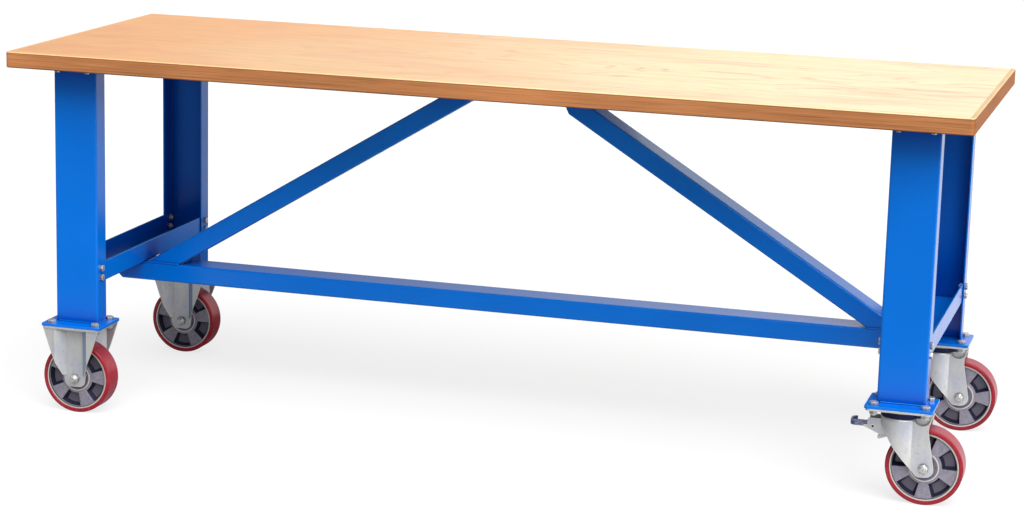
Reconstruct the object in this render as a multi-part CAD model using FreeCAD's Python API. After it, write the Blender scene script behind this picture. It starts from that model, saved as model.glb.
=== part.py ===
import FreeCAD, Part
import math
import os

from FreeCAD import Placement, Rotation, Vector

# Mobile assembly table: a wooden worktop on four channel legs, a lower frame with two
# diagonal braces, two fixed casters on the left and two braked swivel casters on the right.
# Frame: X along the length, Y from front to rear, Z up.  The floor is at Z = 0 and the
# origin lies on it, under the middle of the worktop.  Sizes are in millimetres.

# ---- worktop ---------------------------------------------------------------------------
top_length = 2080.0
top_depth = 760.0
top_height = 815.0                # working surface above the floor
top_thickness = 35.0
edging_width = 10.0               # solid strips glued round the board
arris_radius = 3.0                # rounded long edges of the strips
corner_radius = 8.0               # rounded upright corners

# ---- legs: pressed channels with a welded head plate and foot plate ----------------------
leg_width = 100.0
leg_flange = 45.0
leg_sheet = 3.0
leg_bend = 5.0                    # outer bend radius
end_overhang = 72.5               # end of the worktop to the outer flange
front_overhang = 85.5             # front edge of the worktop to the front webs
rear_overhang = 48.5              # rear edge of the worktop to the rear webs
head_plate_length = 110.0
head_plate_depth = 100.0
head_plate_thickness = 8.0
head_plate_lead = 31.5            # head plate in front of the web
head_screw_pitch_x = 70.0
head_screw_inset = 19.0           # edge of the head plate to a row of screws
foot_plate_length = 140.0
foot_plate_depth = 110.0
foot_plate_thickness = 6.0
foot_plate_corner = 5.0
foot_plate_lead = 36.5            # foot plate in front of the web

# ---- lower frame -------------------------------------------------------------------------
rail_underside = 295.0            # underside of the cross-members above the floor
rail_height = 45.0
rail_sheet = 3.0
rail_bend = 5.0
rail_end_gap = 3.0                # end of a cross-member to the web of the leg
rail_bolt_rise = 13.0             # underside to the lower bolt
rail_bolt_pitch = 21.0
beam_length = 1870.0
beam_depth = 74.0
beam_height = 42.0
beam_wall = 3.0
tube_bend = 5.0                   # outer radius of the tubes' long arrises
beam_end_bevel = 10.0             # bevelled lower corner at each end

# ---- braces and the rail that carries their heads ------------------------------------------
brace_depth = 68.0
brace_foot_inset = 77.0           # cross-member to the lower edge of a brace, on the beam
brace_head_reach = 73.5           # middle of the pair to the lower edge, at the head rail
brace_shift = 8.0                 # the pair stands this far to the right
brace_tip_angle = 66.0            # slope of the trimmed tip, in degrees
left_tip_drop = 18.0              # trimmed tip below the head rail
right_tip_drop = 30.0
head_rail_length = 420.0
head_rail_screw_inset = 25.0
head_rail_screw_pitch_y = 30.0

# ---- wheels --------------------------------------------------------------------------------
wheel_diameter = 160.0
tyre_width = 50.0
tyre_thickness = 9.0
tyre_shoulder = 3.5
tyre_chamfer = 1.5
rim_ring_width = 46.0
rim_ring_thickness = 3.5
spoke_count = 5
spoke_face_width = 40.0           # across the two spoke faces
spoke_share = 0.42                # part of the turn that is spoke, the rest is pocket
pocket_depth = 14.0
pocket_draft = 5.5                # lean of the pocket's walls, face to floor
pocket_hub_margin = 5.0           # pocket to hub ring
pocket_rim_margin = 1.0           # pocket to rim ring
hub_radius = 31.0
hub_width = 44.0
bearing_outer_radius = 23.5
bearing_inner_radius = 10.05
bearing_width = 14.0
bearing_spacing = 14.0            # between the two bearings
bearing_shoulder_radius = 18.0
bearing_shield_depth = 1.0
bearing_ring_wall = 3.0
sleeve_clearance = 0.05           # running fit of the bearings on the sleeve
spacer_radius = 13.0
spacer_play = 0.3                 # spacer to bearing
pocket_angle_front_left = 39.5    # at rest, a pocket above the level axis to the right
pocket_angle_front_right = 19.0
pocket_angle_rear_left = 50.0
pocket_angle_rear_right = 36.0

# ---- casters -------------------------------------------------------------------------------
caster_height = 200.0             # floor to the top face of the caster plate
caster_plate_length = 135.0
caster_plate_thickness = 4.0
caster_plate_corner = 8.0
caster_bolt_pitch_x = 105.0
caster_bolt_pitch_y = 75.0
fork_gap = 58.0                   # between the inner faces, at the axle
axle_radius = 6.0
axle_clearance = 0.2
lobe_below = 19.0                 # sheet below the axle

bracket_sheet = 3.0               # fixed caster
bracket_wing_reach = 53.0         # middle of the caster to the outer face of the wings
bracket_wing_fold = 38.0          # middle of the leg to the fold of a wing
bracket_panel_fold = 19.0         # the same, to the fold of the middle panel
bracket_flare_low = 88.0          # lower end of the folds, the leg is flat below
bracket_top_half = 66.0           # half width of the leg at the plate
bracket_knee_half = 49.5
bracket_knee_height = 146.0
bracket_waist_half = 24.5
bracket_waist_height = 84.0
bracket_foot_half = 23.0
bracket_foot_corner = 14.0
bracket_bend_radius = 40.0        # soft corners of the tapering outline
bracket_shoulder_drop = 10.0      # height of the bend from the plate's edge to the panel

swivel_trail = 54.5               # swivel axis to wheel axis
fork_sheet = 4.0
crown_radius = 43.0
crown_drop = 15.0                 # underside of the caster plate to the crown
crown_bend = 6.0
crown_rim = 7.0                   # height of the crown's rim at the free side
fork_knee_back = 65.5             # wheel axis to the knee of the leading edge
fork_knee_rise = 43.0
fork_toe_back = 14.5
fork_heel = 20.5
fork_heel_radius = 18.0
fork_toe_radius = 13.0
fork_soft_radius = 40.0
scoop_radius = 17.5               # round hollow in each leg under a mounting nut
scoop_depth = 13.0
scoop_shift = 6.0                 # middle of the hollow inwards of the nut
scoop_lip = 5.0
ear_forward = 6.0                 # wheel axis to the narrowest place above the wheel
ear_lean = 4.0
ear_length = 22.0
race_outer_radius = 42.0
race_inner_radius = 33.0
race_height = 8.5
race_gap = 0.4
kingpin_radius = 8.0
kingpin_head_radius = 12.0
kingpin_head_height = 3.0
kingpin_collar_radius = 13.0
kingpin_collar_height = 7.0
kingpin_clearance = 0.05
kingpin_play = 0.4

# ---- wheel brake on each swivel caster --------------------------------------------------------
brake_pivot_back = 55.0           # swivel axis to the pivot
brake_pivot_height = 154.5
brake_pin_radius = 4.0
brake_pin_wall = 1.5
brake_cheek = 3.0
brake_cheek_inner = 15.0          # middle to the inner face of a cheek
brake_cheek_front = 66.0
brake_cheek_top = 172.0
brake_nose_front = 74.0           # nose of a cheek below the pedal
brake_nose_top = 157.0
brake_nose_low = 153.0
brake_cheek_low = 138.0
brake_cheek_low_back = 38.0
brake_web_front = 36.0
brake_web_back = 14.0
brake_web_thickness = 4.0
brake_corner = 5.0
pedal_side_play = 0.5
pedal_sheet = 3.0
pedal_tread_reach = 102.0         # swivel axis to the end of the tread
pedal_tread_back = 76.5           # the same, to its wide part's other end
pedal_tread_half = 19.0
pedal_tread_top = 156.5
pedal_tread_corner = 12.0
pedal_lip_top = 164.0             # lip round the end of the tread
pedal_lip_length = 11.0
pedal_rib_radius = 1.8
pedal_rib_pitch = 9.0
pedal_neck = 12.0
heel_tip_back = 42.0
heel_tip_height = 131.0
heel_root_back = 18.0
heel_root_height = 140.5
heel_thickness = 7.0

# ---- fasteners -----------------------------------------------------------------------------
hole_clearance = 0.5
thread_clearance = 0.05
press_clearance = 0.01            # pins and bearings in their seats
frame_bolt_radius = 4.0
frame_bolt_flats = 13.0
frame_head_height = 5.3
frame_nut_height = 6.5
plate_bolt_radius = 5.0
plate_bolt_flats = 16.0
plate_head_height = 6.4
plate_nut_height = 8.0
plate_washer_radius = 10.0
plate_washer_thickness = 2.0
top_screw_radius = 3.0
top_screw_flats = 10.0
top_screw_head_height = 4.0
top_screw_flange_radius = 6.5
top_screw_flange_thickness = 1.5
top_screw_bite = 25.0             # length in the wood
axle_head_flats = 18.0
axle_head_height = 7.5
axle_nut_height = 10.8
bolt_end = 2.5                    # thread beyond a nut

# ---- sizes that follow -----------------------------------------------------------------------
margin = 1.0                      # how far cutting bodies run past the material
board_underside = top_height - top_thickness
leg_x = top_length / 2 - end_overhang - leg_width / 2
front_web_y = -top_depth / 2 + front_overhang
rear_web_y = top_depth / 2 - rear_overhang
caster_offset = foot_plate_depth / 2 - foot_plate_lead
front_caster_y = front_web_y + caster_offset
rear_caster_y = rear_web_y - caster_offset
head_plate_underside = board_underside - head_plate_thickness
foot_plate_top = caster_height + foot_plate_thickness
caster_plate_underside = caster_height - caster_plate_thickness
rail_width = leg_width - 2 * leg_sheet
rail_inner_x = leg_x - rail_width / 2
brace_foot_reach = rail_inner_x - brace_foot_inset
rail_front_y = front_web_y + leg_sheet + rail_end_gap
rail_rear_y = rear_web_y - leg_sheet - rail_end_gap
head_rail_underside = board_underside - beam_height
wheel_radius = wheel_diameter / 2
rim_radius = wheel_radius - tyre_thickness
spoke_outer_radius = rim_radius - rim_ring_thickness
fork_reach = fork_gap / 2 + fork_sheet
bracket_foot_reach = fork_gap / 2 + bracket_sheet
crown_top = caster_plate_underside - crown_drop
bearing_face = bearing_spacing / 2 + bearing_width
spacer_start = bearing_face + spacer_play
sleeve_radius = bearing_inner_radius - sleeve_clearance
axle_bore = axle_radius + axle_clearance

left, right = -1, 1
front, rear = -1, 1
sides = {"left": left, "right": right}
rows = {"front": front, "rear": rear}
pocket_angles = {"front_left": pocket_angle_front_left, "front_right": pocket_angle_front_right,
                 "rear_left": pocket_angle_rear_left, "rear_right": pocket_angle_rear_right}

x_axis = Vector(1, 0, 0)
y_axis = Vector(0, 1, 0)
z_axis = Vector(0, 0, 1)
half_turn = 180.0
quarter_turn = 90.0


# ---- general shapes --------------------------------------------------------------------------
def block(x0, x1, y0, y1, z0, z1):
    """Box between two corners."""
    return Part.makeBox(x1 - x0, y1 - y0, z1 - z0, Vector(x0, y0, z0))


def aim(shape, place, direction):
    """Copy of a shape built along Z, turned to a direction and set at a place."""
    moved = shape.copy()
    moved.Placement = Placement(place, Rotation(z_axis, direction))
    return moved


def turned(shape, angle, axis=z_axis, centre=Vector(0, 0, 0)):
    """Copy turned about an axis through a centre, in degrees."""
    copy = shape.copy()
    copy.rotate(centre, axis, angle)
    return copy


def moved(shape, x=0.0, y=0.0, z=0.0):
    """Copy shifted by a vector."""
    copy = shape.copy()
    copy.translate(Vector(x, y, z))
    return copy


def ring(outer, inner, low, high):
    """Plain tube round the Z axis."""
    tube = Part.makeCylinder(outer, high - low, Vector(0, 0, low))
    bore = Part.makeCylinder(inner, high - low + 2 * margin, Vector(0, 0, low - margin))
    return tube.cut(bore)


def hexagon(flats, height):
    """Hexagonal prism from Z = 0 up."""
    corner = flats / math.sqrt(3)
    steps = [math.radians(60 * i) for i in range(7)]
    points = [Vector(corner * math.cos(a), corner * math.sin(a), 0) for a in steps]
    return Part.Face(Part.makePolygon(points)).extrude(Vector(0, 0, height))


def hex_bolt(radius, flats, head_height, length):
    """Bolt whose head seats at Z = 0 and whose shank runs down from it."""
    shank = Part.makeCylinder(radius, length, Vector(0, 0, -length))
    return hexagon(flats, head_height).fuse(shank).removeSplitter()


def hex_nut(radius, flats, height):
    """Nut that seats at Z = 0 and stands up from it."""
    bore = Part.makeCylinder(radius, height + 2 * margin, Vector(0, 0, -margin))
    return hexagon(flats, height).cut(bore)


def corner_cut(before, corner, after, radius):
    """Start, middle and end of the arc that rounds a corner of an outline."""
    back = (before - corner).normalize()
    ahead = (after - corner).normalize()
    half_angle = back.getAngle(ahead) / 2
    reach = radius / math.tan(half_angle)
    bisector = (back + ahead).normalize()
    depth = radius / math.sin(half_angle) - radius
    return corner + back * reach, corner + bisector * depth, corner + ahead * reach


def rounded_face(points):
    """Face in the XZ plane from (x, z, radius) corners, rounded where the radius is given."""
    places = [Vector(x, 0, z) for x, z, radius in points]
    edges = []
    ends = []
    for i, (x, z, radius) in enumerate(points):
        if radius:
            start, middle, end = corner_cut(places[i - 1], places[i], places[(i + 1) % len(points)],
                                            radius)
            edges.append(Part.Arc(start, middle, end).toShape())
        else:
            start = end = places[i]
        ends.append((start, end))
    for i, (start, end) in enumerate(ends):
        following = ends[(i + 1) % len(ends)][0]
        edges.append(Part.LineSegment(end, following).toShape())
    return Part.Face(Part.Wire(Part.__sortEdges__(edges)))


def prism(points, half_depth):
    """Outline in the XZ plane made solid, half the depth each way along Y."""
    face = rounded_face(points)
    face.translate(Vector(0, -half_depth, 0))
    return face.extrude(Vector(0, 2 * half_depth, 0))


def upright_edges(solid, test):
    """Edges along Z whose position passes a test."""
    found = []
    for edge in solid.Edges:
        first, last = edge.Vertexes[0].Point, edge.Vertexes[-1].Point
        along_z = abs(first.x - last.x) + abs(first.y - last.y) < thread_clearance
        if along_z and test(first):
            found.append(edge)
    return found


def channel(width, depth, sheet, bend, length):
    """Pressed channel from Z = 0 up: web on the low Y side at Y = 0, open to high Y."""
    outer = block(-width / 2, width / 2, 0, depth, 0, length)
    outer = outer.makeFillet(bend, upright_edges(outer, lambda p: p.y < sheet))
    inner = block(-width / 2 + sheet, width / 2 - sheet, sheet, depth + margin,
                  -margin, length + margin)
    inner = inner.makeFillet(max(bend - sheet, thread_clearance),
                             upright_edges(inner, lambda p: p.y < 2 * sheet))
    return outer.cut(inner)


def long_edges(solid, direction):
    """Straight edges that run along a direction."""
    found = []
    for edge in solid.Edges:
        run = edge.Vertexes[-1].Point - edge.Vertexes[0].Point
        if run.Length > margin and run.normalize().cross(direction).Length < thread_clearance:
            found.append(edge)
    return found


def box_tube(length, depth, height, wall):
    """Rectangular tube along X, centred on X and Y, its underside at Z = 0."""
    outer = block(-length / 2, length / 2, -depth / 2, depth / 2, 0, height)
    outer = outer.makeFillet(tube_bend, long_edges(outer, x_axis))
    inner = block(-length / 2 - margin, length / 2 + margin, -depth / 2 + wall,
                  depth / 2 - wall, wall, height - wall)
    inner = inner.makeFillet(tube_bend - wall, long_edges(inner, x_axis))
    return outer.cut(inner)


def rounded_plate(length, depth, thickness, corner):
    """Plate centred on X and Y, from Z = 0 up, with rounded corners."""
    plate = block(-length / 2, length / 2, -depth / 2, depth / 2, 0, thickness)
    return plate.makeFillet(corner, upright_edges(plate, lambda p: True))


def pattern(pitch_x, pitch_y):
    """The four places of a rectangular hole pattern round the origin."""
    return [(sx * pitch_x / 2, sy * pitch_y / 2) for sx in (-1, 1) for sy in (-1, 1)]


def drill(solid, places, radius):
    """Solid with upright holes right through at the places."""
    box = solid.BoundBox
    for x, y in places:
        drill_body = Part.makeCylinder(radius, box.ZLength + 2 * margin,
                                       Vector(x, y, box.ZMin - margin))
        solid = solid.cut(drill_body)
    return solid


# ---- places that several pieces share -----------------------------------------------------------
caster_bolt_places = pattern(caster_bolt_pitch_x, caster_bolt_pitch_y)


def leg_to_table(shape, side, row):
    """Copy of a piece built for a front leg, web at Y = 0, set at one of the four legs."""
    turn = half_turn if row == rear else 0.0
    place_y = rear_web_y if row == rear else front_web_y
    return moved(turned(shape, turn), side * leg_x, place_y)


def caster_to_table(shape, side, row):
    """Copy of a caster piece built round its own upright middle axis, set under a leg."""
    return moved(shape, side * leg_x, rear_caster_y if row == rear else front_caster_y)


def head_screw_places():
    """Head plate screws, seen from a front leg with its web at Y = 0."""
    first = -head_plate_lead + head_screw_inset
    last = head_plate_depth - head_plate_lead - head_screw_inset
    half = head_screw_pitch_x / 2
    return [(x, y) for x in (-half, half) for y in (first, last)]


def top_screw_places():
    """All screws into the worktop as (x, y, seat height)."""
    places = []
    for side in (left, right):
        for row in (front, rear):
            for x, y in head_screw_places():
                base_y = front_web_y + y if row == front else rear_web_y - y
                places.append((side * leg_x + x, base_y, head_plate_underside))
    reach = head_rail_length / 2 - head_rail_screw_inset
    for x, y in pattern(2 * reach, head_rail_screw_pitch_y):
        places.append((brace_shift + x, y, head_rail_underside))
    return places


# ---- worktop -----------------------------------------------------------------------------------
def rounded_board():
    """The whole worktop with its rounded corners and arrises."""
    board = block(-top_length / 2, top_length / 2, -top_depth / 2, top_depth / 2,
                  board_underside, top_height)
    corner = min(corner_radius, edging_width - arris_radius / 2)
    board = board.makeFillet(corner, upright_edges(board, lambda p: True))
    flat_rims = [edge for face in board.Faces if abs(face.normalAt(0, 0).z) > 1 - thread_clearance
                 for edge in face.Edges]
    return board.makeFillet(arris_radius, flat_rims)


def tabletop_pieces():
    """Core board, the two long edge strips and the two short ones."""
    board = rounded_board()
    inner_x = top_length / 2 - edging_width
    inner_y = top_depth / 2 - edging_width
    low, high = board_underside - margin, top_height + margin
    core = board.common(block(-inner_x, inner_x, -inner_y, inner_y, low, high))
    for x, y, seat in top_screw_places():
        pilot = Part.makeCylinder(top_screw_radius + thread_clearance, top_screw_bite + margin,
                                  Vector(x, y, board_underside - margin))
        core = core.cut(pilot)
    far_x = top_length / 2 + margin
    far_y = top_depth / 2 + margin
    long_strips = []
    short_strips = []
    for sign in (-1, 1):
        y0, y1 = sorted((sign * inner_y, sign * far_y))
        long_strips.append(board.common(block(-far_x, far_x, y0, y1, low, high)))
        x0, x1 = sorted((sign * inner_x, sign * far_x))
        short_strips.append(board.common(block(x0, x1, -inner_y, inner_y, low, high)))
    return core, long_strips, short_strips


def top_screws():
    """Flanged screws that hold the head plates and the head rail to the board."""
    screws = []
    for x, y, seat in top_screw_places():
        length = board_underside - seat + top_screw_bite
        shank = Part.makeCylinder(top_screw_radius, length)
        flange = Part.makeCylinder(top_screw_flange_radius, top_screw_flange_thickness,
                                   Vector(0, 0, -top_screw_flange_thickness))
        head = moved(hexagon(top_screw_flats, top_screw_head_height),
                     z=-top_screw_flange_thickness - top_screw_head_height)
        screw = shank.fuse([flange, head]).removeSplitter()
        screws.append(moved(screw, x, y, seat))
    return screws


# ---- legs --------------------------------------------------------------------------------------
def rail_bolt_heights():
    """Heights of the two bolts through each flange."""
    lower = rail_underside + rail_bolt_rise
    return lower, lower + rail_bolt_pitch


def leg():
    """Channel leg with bolt holes for the cross-member, web at Y = 0."""
    body = channel(leg_width, leg_flange, leg_sheet, leg_bend,
                   head_plate_underside - foot_plate_top)
    body = moved(body, z=foot_plate_top)
    for height in rail_bolt_heights():
        hole = Part.makeCylinder(frame_bolt_radius + hole_clearance, leg_width + 2 * margin,
                                 Vector(-leg_width / 2 - margin, leg_flange / 2, height), x_axis)
        body = body.cut(hole)
    return body


def leg_head_plate():
    """Plate on top of the leg, screwed to the board."""
    plate = block(-head_plate_length / 2, head_plate_length / 2, -head_plate_lead,
                  head_plate_depth - head_plate_lead, head_plate_underside, board_underside)
    return drill(plate, head_screw_places(), top_screw_radius + hole_clearance)


def leg_foot_plate():
    """Plate under the leg, bolted to the caster; built round the caster's axis."""
    plate = rounded_plate(foot_plate_length, foot_plate_depth, foot_plate_thickness,
                          foot_plate_corner)
    plate = moved(plate, z=caster_height)
    return drill(plate, caster_bolt_places, plate_bolt_radius + hole_clearance)


# ---- lower frame -------------------------------------------------------------------------------
def rail_bolt_rows():
    """Y of the bolts near the front leg and near the rear leg."""
    return front_web_y + leg_flange / 2, rear_web_y - leg_flange / 2


def cross_member(side):
    """Channel between the front and rear leg of one end, open upwards."""
    length = rail_rear_y - rail_front_y
    body = channel(rail_width, rail_height, rail_sheet, rail_bend, length)
    # the channel's length turns from Z to Y and its open side turns up
    body = turned(body, quarter_turn, x_axis)
    body = moved(body, side * leg_x, rail_rear_y, rail_underside)
    for y in rail_bolt_rows():
        for height in rail_bolt_heights():
            hole = Part.makeCylinder(frame_bolt_radius + hole_clearance, rail_width + 2 * margin,
                                     Vector(side * leg_x - rail_width / 2 - margin, y, height),
                                     x_axis)
            body = body.cut(hole)
    return body


def frame_bolts_and_nuts():
    """Bolts through each leg flange into the cross-member, with nuts inside the channel."""
    bolts = []
    nuts = []
    grip = leg_sheet + rail_sheet
    bolt = hex_bolt(frame_bolt_radius, frame_bolt_flats, frame_head_height,
                    grip + frame_nut_height + bolt_end)
    nut = hex_nut(frame_bolt_radius + thread_clearance, frame_bolt_flats, frame_nut_height)
    for side in (left, right):
        for face in (left, right):
            outward = x_axis * face
            for y in rail_bolt_rows():
                for height in rail_bolt_heights():
                    seat = Vector(side * leg_x + face * leg_width / 2, y, height)
                    bolts.append(aim(bolt, seat, outward))
                    nuts.append(aim(nut, seat - outward * grip, outward * -1))
    return bolts, nuts


def lower_beam():
    """Long tube under the two cross-members, its lower end corners bevelled."""
    low = rail_underside - beam_height
    half = beam_length / 2
    outline = [(-half + beam_end_bevel, low, 0), (half - beam_end_bevel, low, 0),
               (half, low + beam_end_bevel, 0), (half, rail_underside, 0),
               (-half, rail_underside, 0), (-half, low + beam_end_bevel, 0)]
    tube = moved(box_tube(beam_length, beam_depth, beam_height, beam_wall), z=low)
    return tube.common(prism(outline, beam_depth))


def brace(side, tip_drop):
    """Rectangular tube from the beam up to the head rail, cut level at both ends."""
    rise = head_rail_underside - rail_underside
    run = brace_foot_reach - brace_head_reach
    slope = math.atan2(rise, run)
    lean = run / rise
    level_width = beam_height / math.sin(slope)
    wall_width = beam_wall / math.sin(slope)
    tip_low_x = brace_head_reach + tip_drop * lean
    tip_high_x = tip_low_x - tip_drop / math.tan(math.radians(brace_tip_angle))
    foot_end = min(brace_foot_reach + level_width, rail_inner_x - side * brace_shift)
    foot_end_rise = (brace_foot_reach + level_width - foot_end) / lean
    outer = [(brace_foot_reach, rail_underside, 0), (foot_end, rail_underside, 0)]
    if foot_end_rise > 0:
        outer.append((foot_end, rail_underside + foot_end_rise, 0))
    outer += [(brace_head_reach + level_width, head_rail_underside, 0),
              (tip_high_x, head_rail_underside, 0),
              (tip_low_x, head_rail_underside - tip_drop, 0)]
    past = 2 * level_width
    inner_low = rail_underside - past / lean
    inner_high = head_rail_underside + past / lean
    inner = [(brace_foot_reach + past + wall_width, inner_low, 0),
             (brace_foot_reach + past + level_width - wall_width, inner_low, 0),
             (brace_head_reach - past + level_width - wall_width, inner_high, 0),
             (brace_head_reach - past + wall_width, inner_high, 0)]
    axis = Vector(-run, 0, rise).normalize()
    body, hollow = prism(outer, brace_depth / 2), prism(inner, brace_depth / 2 - beam_wall)
    body = body.makeFillet(tube_bend, long_edges(body, axis))
    hollow = hollow.makeFillet(tube_bend - beam_wall, long_edges(hollow, axis))
    tube = body.cut(hollow)
    if side == left:
        tube = turned(tube, half_turn)
    return moved(tube, brace_shift)


def head_rail():
    """Short tube screwed under the board that takes the heads of the braces."""
    tube = box_tube(head_rail_length, beam_depth, beam_height, beam_wall)
    tube = moved(tube, brace_shift, 0, head_rail_underside)
    places = [(x, y) for x, y, seat in top_screw_places() if seat == head_rail_underside]
    return drill(tube, places, top_screw_radius + hole_clearance)


# ---- fasteners between the foot plates and the casters -----------------------------------------
def caster_fasteners():
    """Bolts, washers and nuts of all four caster plates."""
    grip = foot_plate_thickness + caster_plate_thickness + plate_washer_thickness
    bolt = hex_bolt(plate_bolt_radius, plate_bolt_flats, plate_head_height,
                    grip + plate_nut_height + bolt_end)
    washer = ring(plate_washer_radius, plate_bolt_radius + hole_clearance,
                  -plate_washer_thickness, 0)
    nut = hex_nut(plate_bolt_radius + thread_clearance, plate_bolt_flats, plate_nut_height)
    nut = moved(nut, z=-plate_nut_height)
    bolts, washers, nuts = [], [], []
    for side in (left, right):
        for row in (front, rear):
            for x, y in caster_bolt_places:
                bolts.append(caster_to_table(moved(bolt, x, y, foot_plate_top), side, row))
                washers.append(caster_to_table(moved(washer, x, y, caster_plate_underside),
                                               side, row))
                nut_seat = caster_plate_underside - plate_washer_thickness
                nuts.append(caster_to_table(moved(nut, x, y, nut_seat), side, row))
    return bolts, washers, nuts


# ---- wheel: built with its axle along Y through the origin -------------------------------------
def revolved(profile):
    """Solid of revolution about Y from (radius, offset along the axle) corners."""
    points = [Vector(radius, offset, 0) for radius, offset in profile]
    face = Part.Face(Part.makePolygon(points + points[:1]))
    return face.revolve(Vector(0, 0, 0), y_axis, 2 * half_turn)


def sector(inner_radius, outer_radius, half_sweep, height):
    """Outline of a ring sector round the Y axis, half sweep in radians."""
    def at(radius, turn):
        return Vector(radius * math.sin(turn), radius * math.cos(turn), height)

    a, b = -half_sweep, half_sweep
    edges = [Part.LineSegment(at(inner_radius, a), at(outer_radius, a)).toShape(),
             Part.Arc(at(outer_radius, a), at(outer_radius, 0), at(outer_radius, b)).toShape(),
             Part.LineSegment(at(outer_radius, b), at(inner_radius, b)).toShape(),
             Part.Arc(at(inner_radius, b), at(inner_radius, 0), at(inner_radius, a)).toShape()]
    return Part.Wire(edges)


def pocket():
    """Ring sector with leaning walls, floor at Z = 0, in the middle of the Y axis."""
    inner = hub_radius + pocket_hub_margin
    outer = spoke_outer_radius - pocket_rim_margin
    half_sweep = math.pi / spoke_count * (1 - spoke_share)
    wires = []
    for height in (0, pocket_depth + margin):
        ease = pocket_draft * (1 - height / pocket_depth)
        wires.append(sector(inner + ease, outer - ease,
                            half_sweep - ease / (inner + outer) * 2, height))
    return Part.makeLoft(wires, True, True)


def wheel_rim():
    """Cast rim: hub with two bearing seats, flat spokes with pockets, raised rim ring."""
    hub, ring_half = hub_width / 2, rim_ring_width / 2
    face, seat = spoke_face_width / 2, bearing_spacing / 2
    bore = bearing_outer_radius + press_clearance
    half = [(bearing_shoulder_radius, seat), (bore, seat), (bore, hub), (hub_radius, hub),
            (hub_radius, face),
            (spoke_outer_radius, face), (spoke_outer_radius, ring_half), (rim_radius, ring_half)]
    body = revolved(half + [(radius, -offset) for radius, offset in reversed(half)])
    one_pocket = pocket()
    for i in range(spoke_count):
        cutter = turned(one_pocket, 2 * half_turn / spoke_count * i)
        for outward in (-y_axis, y_axis):
            floor = outward * (face - pocket_depth)
            body = body.cut(aim_upright(cutter, floor, outward))
    return body


def aim_upright(shape, place, outward):
    """Turn a shape from Z to plus or minus Y so that its own Y becomes the table's Z."""
    copy = shape.copy()
    angle = quarter_turn if outward.y < 0 else -quarter_turn
    copy.rotate(Vector(0, 0, 0), x_axis, angle)
    if outward.y > 0:
        copy.rotate(Vector(0, 0, 0), y_axis, half_turn)
    copy.translate(place)
    return copy


def wheel_tyre():
    """Moulded tread with rounded shoulders."""
    half, seat = tyre_width / 2, rim_ring_width / 2
    flat = half - tyre_shoulder
    bend = math.sqrt(0.5) * tyre_shoulder
    edge_radius = wheel_radius - tyre_shoulder

    def arc(sign):
        ends = [Vector(edge_radius, sign * half, 0), Vector(wheel_radius, sign * flat, 0)]
        middle = Vector(edge_radius + bend, sign * (flat + bend), 0)
        return Part.Arc(ends[0], middle, ends[1]).toShape()

    def line(a, b):
        return Part.LineSegment(Vector(*a, 0), Vector(*b, 0)).toShape()

    edges = [line((rim_radius, -seat), (rim_radius, seat)),
             line((rim_radius, seat), (rim_radius + tyre_chamfer, half)),
             line((rim_radius + tyre_chamfer, half), (edge_radius, half)),
             arc(1),
             line((wheel_radius, flat), (wheel_radius, -flat)),
             arc(-1),
             line((edge_radius, -half), (rim_radius + tyre_chamfer, -half)),
             line((rim_radius + tyre_chamfer, -half), (rim_radius, -seat))]
    face = Part.Face(Part.Wire(Part.__sortEdges__(edges)))
    return face.revolve(Vector(0, 0, 0), y_axis, 2 * half_turn)


def wheel_bearings():
    """Two ball bearings with recessed shields, as closed rings."""
    near, far = bearing_spacing / 2, bearing_face
    shield = far - bearing_shield_depth
    inner_wall = bearing_inner_radius + bearing_ring_wall
    outer_wall = bearing_outer_radius - bearing_ring_wall
    rings = []
    for sign in (-1, 1):
        profile = [(bearing_inner_radius, near), (bearing_outer_radius, near),
                   (bearing_outer_radius, far), (outer_wall, far), (outer_wall, shield),
                   (inner_wall, shield), (inner_wall, far), (bearing_inner_radius, far)]
        rings.append(revolved([(radius, sign * offset) for radius, offset in profile]))
    return rings


def axle_sleeve():
    """Sleeve through the bearings and the spacer at each end of it."""
    sleeve = ring(sleeve_radius, axle_bore, -spacer_start, spacer_start)
    pieces = [sleeve]
    for sign in (-1, 1):
        low, high = sorted((sign * spacer_start, sign * fork_gap / 2))
        pieces.append(ring(spacer_radius, axle_bore, low, high))
    return [turned(piece, quarter_turn, x_axis) for piece in pieces]


def axle_bolt(reach):
    """Axle bolt with its head behind the rear face of a fork or bracket."""
    length = 2 * reach + axle_nut_height + bolt_end
    bolt = hex_bolt(axle_radius, axle_head_flats, axle_head_height, length)
    return aim(bolt, Vector(0, reach, 0), y_axis)


def axle_nut(reach):
    """Nut on the front end of the axle bolt."""
    nut = hex_nut(axle_radius + thread_clearance, axle_head_flats, axle_nut_height)
    return aim(nut, Vector(0, -reach, 0), -y_axis)


# ---- fixed caster ------------------------------------------------------------------------------
def caster_plate():
    """Plate that either kind of caster is bolted on by."""
    plate = rounded_plate(caster_plate_length, foot_plate_depth, caster_plate_thickness,
                          caster_plate_corner)
    plate = moved(plate, z=caster_plate_underside)
    return drill(plate, caster_bolt_places, plate_bolt_radius + hole_clearance)


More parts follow.
